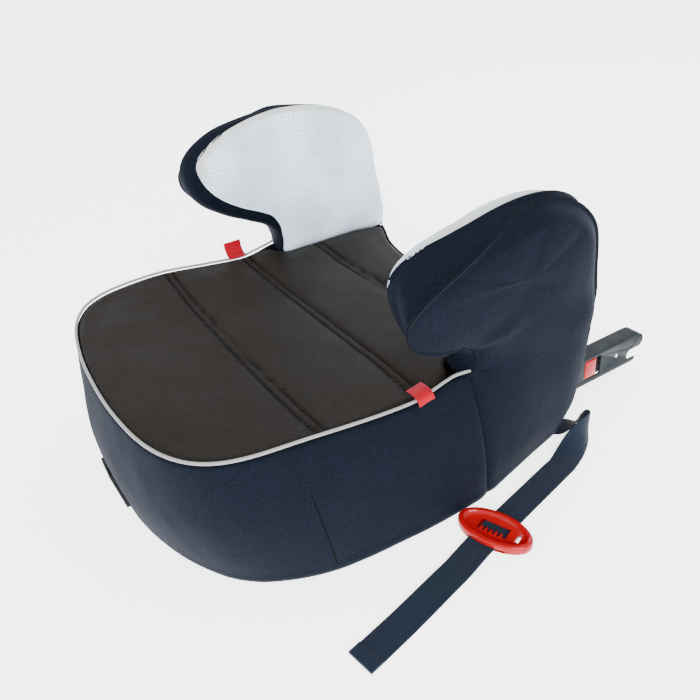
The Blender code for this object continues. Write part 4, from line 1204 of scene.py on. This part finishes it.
wall_piece("front_skirt_cloth", -FRONT_COLUMN, FRONT_COLUMN, skirt_top, ["front_skirt"])
wall_piece("rear_skirt_cloth", REAR_COLUMN, COLUMNS - REAR_COLUMN, rear_top, ["rear_skirt"], in_arm_window)
wall_piece("left_side_cloth", FRONT_COLUMN, REAR_COLUMN, side_top)
wall_piece("right_side_cloth", COLUMNS - REAR_COLUMN, COLUMNS - FRONT_COLUMN, side_top)


def round_cord(name, points, radius, slot, look=None):
    """A round cord along layout points, thinner at its ends."""
    rings = []
    last = len(points) - 1
    for i, point in enumerate(points):
        along = (Vector(points[min(i + 1, last)]) - Vector(points[max(i - 1, 0)])).normalized()
        side = along.cross(Vector((0.0, 0.0, 1.0))).normalized()
        lift = side.cross(along)
        size = radius * min(1.0, 0.35 + 0.3 * min(i, last - i))
        angles = [2 * math.pi * j / CORD_SIDES for j in range(CORD_SIDES)]
        rings.append([Vector(point) + (side * math.cos(a) + lift * math.sin(a)) * size for a in angles])
    return piece(name, tube_mesh(name, rings), slot, look)


def wall_x(y, z, columns):
    """Distance of the side wall from the middle plane at this place, among these columns."""
    points = [wall_point(column, z) for column in columns]
    for a, b in zip(points, points[1:]):
        if a.y <= y <= b.y:
            return a.x + (b.x - a.x) * (y - a.y) / max(b.y - a.y, 1e-9)
    return points[0].x if y < points[0].y else points[-1].x


def dart(side, sign):
    """A stitched dart that takes in the skirt in front of the side panel: a thin near-black cord, the seam itself and
    painted shade along its fold.
    """
    points = []
    for i in range(DART_STEPS + 1):
        z = DART_TOP_Z + (HEM_Z + 0.002 - DART_TOP_Z) * i / DART_STEPS
        y = DART_FOOT_Y - DART_SLOPE * z
        x = wall_x(y, z, DART_COLUMNS)
        x += wall_relief(Vector((x, y, z)), (z - HEM_Z) / (0.139 - HEM_Z))
        points.append((sign * (x - 0.0001), y, z))
    round_cord(side + "_skirt_dart", points, DART_RADIUS, "cover_knit", DART_SEAM_SHADE)


for side_name, side_sign in SIDES:
    dart(side_name, side_sign)


def piping():
    points = [EDGE[column % COLUMNS][:3] for column in range(-PIPING_COLUMN, PIPING_COLUMN + 1)]
    ends = [(0.1816, 0.056, 0.1334), (0.185, 0.067, 0.134), (0.1885, 0.0745, 0.1345)]
    tail = curve_points([points[-1], *ends], 4, closed=False)[1:]
    points = [(-x, y, z) for x, y, z in reversed(tail)] + points + tail
    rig.replaces(round_cord("edge_piping_cord", points, PIPING_RADIUS, "piping_cloth"), "edge_piping")


piping()


# Armrests


def arm_columns(side):
    return curve_points(ARM_SHAPES[side], ARM_COLUMN_STEPS, closed=True)


def arm_section(columns, share, x_in, shrink):
    """One closed section of the armrest: share runs from 0 at the ridge to 1 at the outer seam."""
    section = []
    for ridge_y, ridge_z, outer_y, outer_z, outer_x, _ in columns:
        y = ridge_y + (outer_y - ridge_y) * share
        z = ridge_z + (outer_z - ridge_z) * share
        x = ARM_RIDGE_X + (outer_x - ARM_RIDGE_X) * share if x_in is None else x_in
        section.append((x, y + (ARM_CENTRE[0] - y) * shrink, z + (ARM_CENTRE[1] - z) * shrink))
    return section


def arm_rows(columns):
    """Sections from the middle of the inner face over the top to the middle of the outer face."""
    rows = [arm_section(columns, 0.0, x, shrink) for x, shrink in ARM_INNER_ROWS]
    rows += [arm_section(columns, share, None, 0.0) for share in ARM_BOXING_SHARES]
    for shrink, levelled, bulge in ARM_DOME_ROWS:
        dome = arm_section(columns, 1.0, None, shrink)
        rows.append([(x + (ARM_OUTER_MIDDLE_X - x) * levelled + bulge, y, z) for x, y, z in dome])
    return rows


SEAM_ROW = len(ARM_INNER_ROWS) + len(ARM_BOXING_SHARES) - 1


def finer(columns, steps):
    """The armrest's rows with more between them, on smooth curves, and the panel's border on one row."""
    rows = arm_rows(columns)
    count = (len(rows) - 1) * steps + 1
    found = [[] for _ in range(count)]
    for j, column in enumerate(columns):
        curve = curve_points([row[j] for row in rows], FINE_STEPS, closed=False)
        border = PANEL_ROW + column[-1]
        for i in range(count):
            place = i / steps
            if place <= PANEL_ROW:
                place *= border / PANEL_ROW
            elif place < SEAM_ROW:
                place = border + (place - PANEL_ROW) * (SEAM_ROW - border) / (SEAM_ROW - PANEL_ROW)
            low = min(int(place * FINE_STEPS), len(curve) - 2)
            part = place * FINE_STEPS - low
            found[i].append(Vector(curve[low]).lerp(Vector(curve[low + 1]), part))
    return found


def armrest_swelling(side):
    """Offsets of the armrest's cover on its coarse rows, from its own stuffing simulation."""
    rows = finer(arm_columns(side), 2)
    coarse = [row[:: ARM_COLUMN_STEPS // 2] for row in rows]
    mesh = grid_mesh(side + "_armrest_stuffing", coarse, closed_rows=True, first_cap=True, last_cap=True)
    pins = []
    for i, row in enumerate(coarse):
        for point in row:
            low = 1 - smooth(point.z, 0.134, 0.16)
            seam = max(bump(i - 2 * SEAM_ROW, 0.6), bump(i - 2 * PANEL_ROW, 0.6))
            pins.append(max(low, seam))
    return swollen(mesh, pins, len(coarse[0]))


def arm_relief(rows, i, j):
    """How far a point of the armrest's cover stands out: seams, the welts beside them and soft folds."""
    point = rows[i][j]
    seam = (point - rows[SEAM_ROW * ARM_ROW_STEPS][j]).length
    outer = i > SEAM_ROW * ARM_ROW_STEPS
    above = smooth(point.z, 0.14, 0.165)
    push = -0.0026 * bump(seam, 0.0011) * above
    push += 0.0005 * bump(seam - 0.004, 0.0028) * above * (0.6 if outer else 1.0)
    panel = (point - rows[PANEL_ROW * ARM_ROW_STEPS][j]).length
    push -= 0.0014 * bump(panel, 0.001) * above
    push += 0.0004 * bump(panel - 0.004, 0.0026) * above
    push += (0.0014 * rough(point, 0.055, 11.0) + 0.0003 * rough(point, 0.018, 12.0)) * above
    if outer:
        along = Vector(FOLD_DIRECTION)
        offset = Vector((0.0, point.y, point.z)) - Vector(FOLD_START)
        far = offset.dot(along)
        beside = (offset - along * far).length
        fold = smooth(far, -0.004, 0.01) * (1 - smooth(far, 0.02, 0.07))
        push -= 0.0013 * fold * bump(beside, 0.006)
        push += 0.0006 * fold * bump(beside - 0.012, 0.008)
    return push


def armrest_rows(side, sign):
    """The armrest's fine rows, swollen, with its relief, led into the side cloth and leaned."""
    lean_front, lean_up = ARM_LEANS[side]
    rows = finer(arm_columns(side), ARM_ROW_STEPS)
    swelling = armrest_swelling(side)
    count = len(rows[0])
    raised = []
    for i, row in enumerate(rows):
        found = []
        for j, point in enumerate(row):
            around = row[(j + 1) % count] - row[j - 1]
            over = rows[min(i + 1, len(rows) - 1)][j] - rows[max(i - 1, 0)][j]
            normal = around.cross(over).normalized()
            swell = between(swelling, i * 2 / ARM_ROW_STEPS, j * 2 / ARM_COLUMN_STEPS, closed=True)
            # The normals point outwards where the rows run from the inner face to the outer one.
            found.append(point + normal * arm_relief(rows, i, j) + swell * ARM_SWELLING)
        raised.append(found)
    for i, row in enumerate(raised):
        for point in row:
            if i > PANEL_ROW * ARM_ROW_STEPS and point.z < ARM_FREE_Z:
                # Low down the cover runs straight on into the side cloth, and ends behind it.
                flush_x = wall_x(point.y, point.z, SIDE_COLUMNS) + 0.0002
                if i > SEAM_ROW * ARM_ROW_STEPS:
                    point.x += (flush_x - point.x) * (1 - smooth(point.z, ARM_LOW_Z, ARM_FREE_Z))
                low = 1 - smooth(point.z, 0.118, 0.13)
                point.x = min(point.x, flush_x - 0.007 * low + 0.03 * smooth(point.z, 0.13, 0.15))
            amount = smooth(point.z, ARM_LEAN_FROM_Z, ARM_LEAN_FULL_Z)
            point.y += amount * lean_front
            point.z += amount * lean_up
            point.x *= sign
    return raised


def armrest(side, sign):
    rows = armrest_rows(side, sign)
    border = PANEL_ROW * ARM_ROW_STEPS
    panel_rows = rows[: border + 1]
    mesh = grid_mesh(side + "_armrest_panel", panel_rows, closed_rows=True, first_cap=True)
    face_outwards(mesh, (sign * 0.19, ARM_CENTRE[0], ARM_CENTRE[1]))
    rim = [
        smooth(point.z, 0.225, 0.25) * smooth(i, border - 11, border - 5)
        for i, row in enumerate(panel_rows) for point in row
    ]
    set_attribute(mesh, "rim", rim)
    panel = piece(side + "_armrest_panel", mesh, "panel_mesh")
    thicken(panel, ARM_SKIN)
    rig.replaces(panel, side + "_armrest_inner_panel")

    mesh = grid_mesh(side + "_armrest_cover", rows[border:], closed_rows=True, last_cap=True)
    seam_row = rows[SEAM_ROW * ARM_ROW_STEPS]
    # A mask along the outer seam, for the painted shade that the knit puts there.
    crease_shades = [
        bump((point - seam).length, 0.001) * smooth(seam.z, 0.15, 0.16)
        for row in rows[border:] for point, seam in zip(row, seam_row)
    ]
    set_attribute(mesh, "crease", crease_shades)
    face_outwards(mesh, (sign * 0.18, ARM_CENTRE[0], ARM_CENTRE[1]))
    cover = piece(side + "_armrest_cover", mesh, "cover_knit")
    thicken(cover, ARM_SKIN)
    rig.replaces(cover, side + "_side_cover", side + "_armrest_foam")
    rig.padded(cover, fill=0.75)
    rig.padded(panel, fill=0.75)


for side_name, side_sign in SIDES:
    armrest(side_name, side_sign)


# Ribbon tabs


TAB_DOWN = table(
    2,
    (167.5, 134.9), (172.5, 135.6), (177, 135.8), (180.5, 135.2), (183.5, 133.5), (185.5, 129.5),
)
TAB_UP = table(
    2,
    (167.5, 134.9), (172, 135.6), (176, 137), (179, 141), (180.2, 146), (180.6, 151),
)


def ribbon(name, line, sign, y_low, y_high, node_name):
    """A folded ribbon, curling slightly across its width."""
    middle = curve_points([(x, 0.0, z) for x, z in line], 4, closed=False)
    across = 13
    rows = []
    places = []
    travelled = 0.0
    for i, (x, _, z) in enumerate(middle):
        if i:
            travelled += math.dist(middle[i], middle[i - 1])
        row = []
        for j in range(across):
            share = 2 * j / (across - 1) - 1
            curl = 0.0006 * share * share * smooth(i, 4, len(middle) - 1)
            wave = 0.0005 * rough((x, share * 0.01, z), 0.01, 2.0) * smooth(i, 4, len(middle) - 1)
            y = (y_low + y_high) / 2 + share * (y_high - y_low) / 2
            row.append((sign * (x + curl + wave), y, z))
            places.append((travelled, y))
        rows.append(row)
    mesh = grid_mesh(name, rows)
    add_uv(mesh, places)
    obj = piece(name, mesh, "red_ribbon")
    thicken(obj, 0.0009, 0.0)
    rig.replaces(obj, node_name)


ribbon("left_ribbon_tab", TAB_DOWN, 1, 0.017, 0.033, "left_belt_guide_tab")
ribbon("right_ribbon_tab", TAB_UP, -1, 0.005, 0.026, "right_belt_guide_tab")


# Rounded hard parts


PULL_PLATE_SHIFT = 0.003
for side_name, _ in SIDES:
    rounded_copy(side_name + "_anchor_arm", side_name + "_isofix_arm", 0.0007)
    rounded_copy(side_name + "_button", side_name + "_release_button", 0.0004)
    rounded_copy(side_name + "_hook", side_name + "_latch_hook", 0.0004)
pull_plate = rounded_copy("front_pull_plate", "release_handle", 0.0005)
for plate_vert in pull_plate.data.vertices:
    plate_vert.co.y += PULL_PLATE_SHIFT  # it hangs against the loose skirt


SLIDER_SIZE = (0.014, 0.037, 0.024)


def button_slider(side):
    """The dark slide that carries the red button and fills the window behind it."""
    low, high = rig.box(side + "_release_button")
    middle = ((low.x + high.x) / 2, (low.y + high.y) / 2 + 0.0008, (low.z + high.z) / 2)
    place = Matrix.Translation(middle) @ Matrix.Diagonal((*SLIDER_SIZE, 1.0))
    bm = bmesh.new()
    bmesh.ops.create_cube(bm, size=1.0, matrix=place)
    name = side + "_button_slider"
    obj = framed_piece(name, finished(name, bm), side + "_button", "shell_plastic")
    step = obj.modifiers.new("rounded_edges", "BEVEL")
    step.width = 0.0008
    step.segments = 2


for side_name, _ in SIDES:
    button_slider(side_name)


# Floor and light


FLOOR_ENDS = (-40.0, 40.0)


def stage():
    look = Look("pale_floor", (0.9, 0.9, 0.9), 0.8)
    look.set("Emission Color", (1.0, 1.0, 1.0))
    look.set("Emission Strength", 2.8)
    mesh = grid_mesh("floor", [[(x, y, 0.0) for x in FLOOR_ENDS] for y in FLOOR_ENDS])
    mesh.materials.append(look.material)
    floor = add_object("floor", mesh)
    floor.location = (0.0, 0.0, -0.0002)
    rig.stage(floor)
    world = bpy.data.worlds.new("studio")
    bpy.context.scene.world = world
    world.use_nodes = True
    background = world.node_tree.nodes["Background"]
    background.inputs["Color"].default_value = (0.93, 0.96, 1.0, 1.0)
    background.inputs["Strength"].default_value = 1.7


def soft_light(name, place, target, size, power, colour):
    data = bpy.data.lights.new(name, "AREA")
    data.shape = "RECTANGLE"
    data.size = size
    data.size_y = size
    data.energy = power
    data.color = colour
    lamp = add_object(name, data)
    lamp.location = place
    lamp.rotation_euler = (Vector(target) - Vector(place)).to_track_quat("-Z", "Y").to_euler()


stage()
soft_light("key", (1.9, -0.9, 1.1), (0.0, 0.0, 0.1), 1.3, 100.0, (0.97, 0.985, 1.0))
soft_light("fill", (-0.5, -1.3, 2.2), (0.0, 0.0, 0.1), 1.2, 5.0, (1.0, 0.985, 0.96))
soft_light("back", (-0.9, 1.6, 1.6), (0.0, 0.0, 0.15), 1.2, 20.0, (0.95, 0.98, 1.0))

with open("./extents.json", "w") as out:
    json.dump({"cad": [list(corner) for corner in cad_box], "visual": [list(corner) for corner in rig.bounds()]}, out)
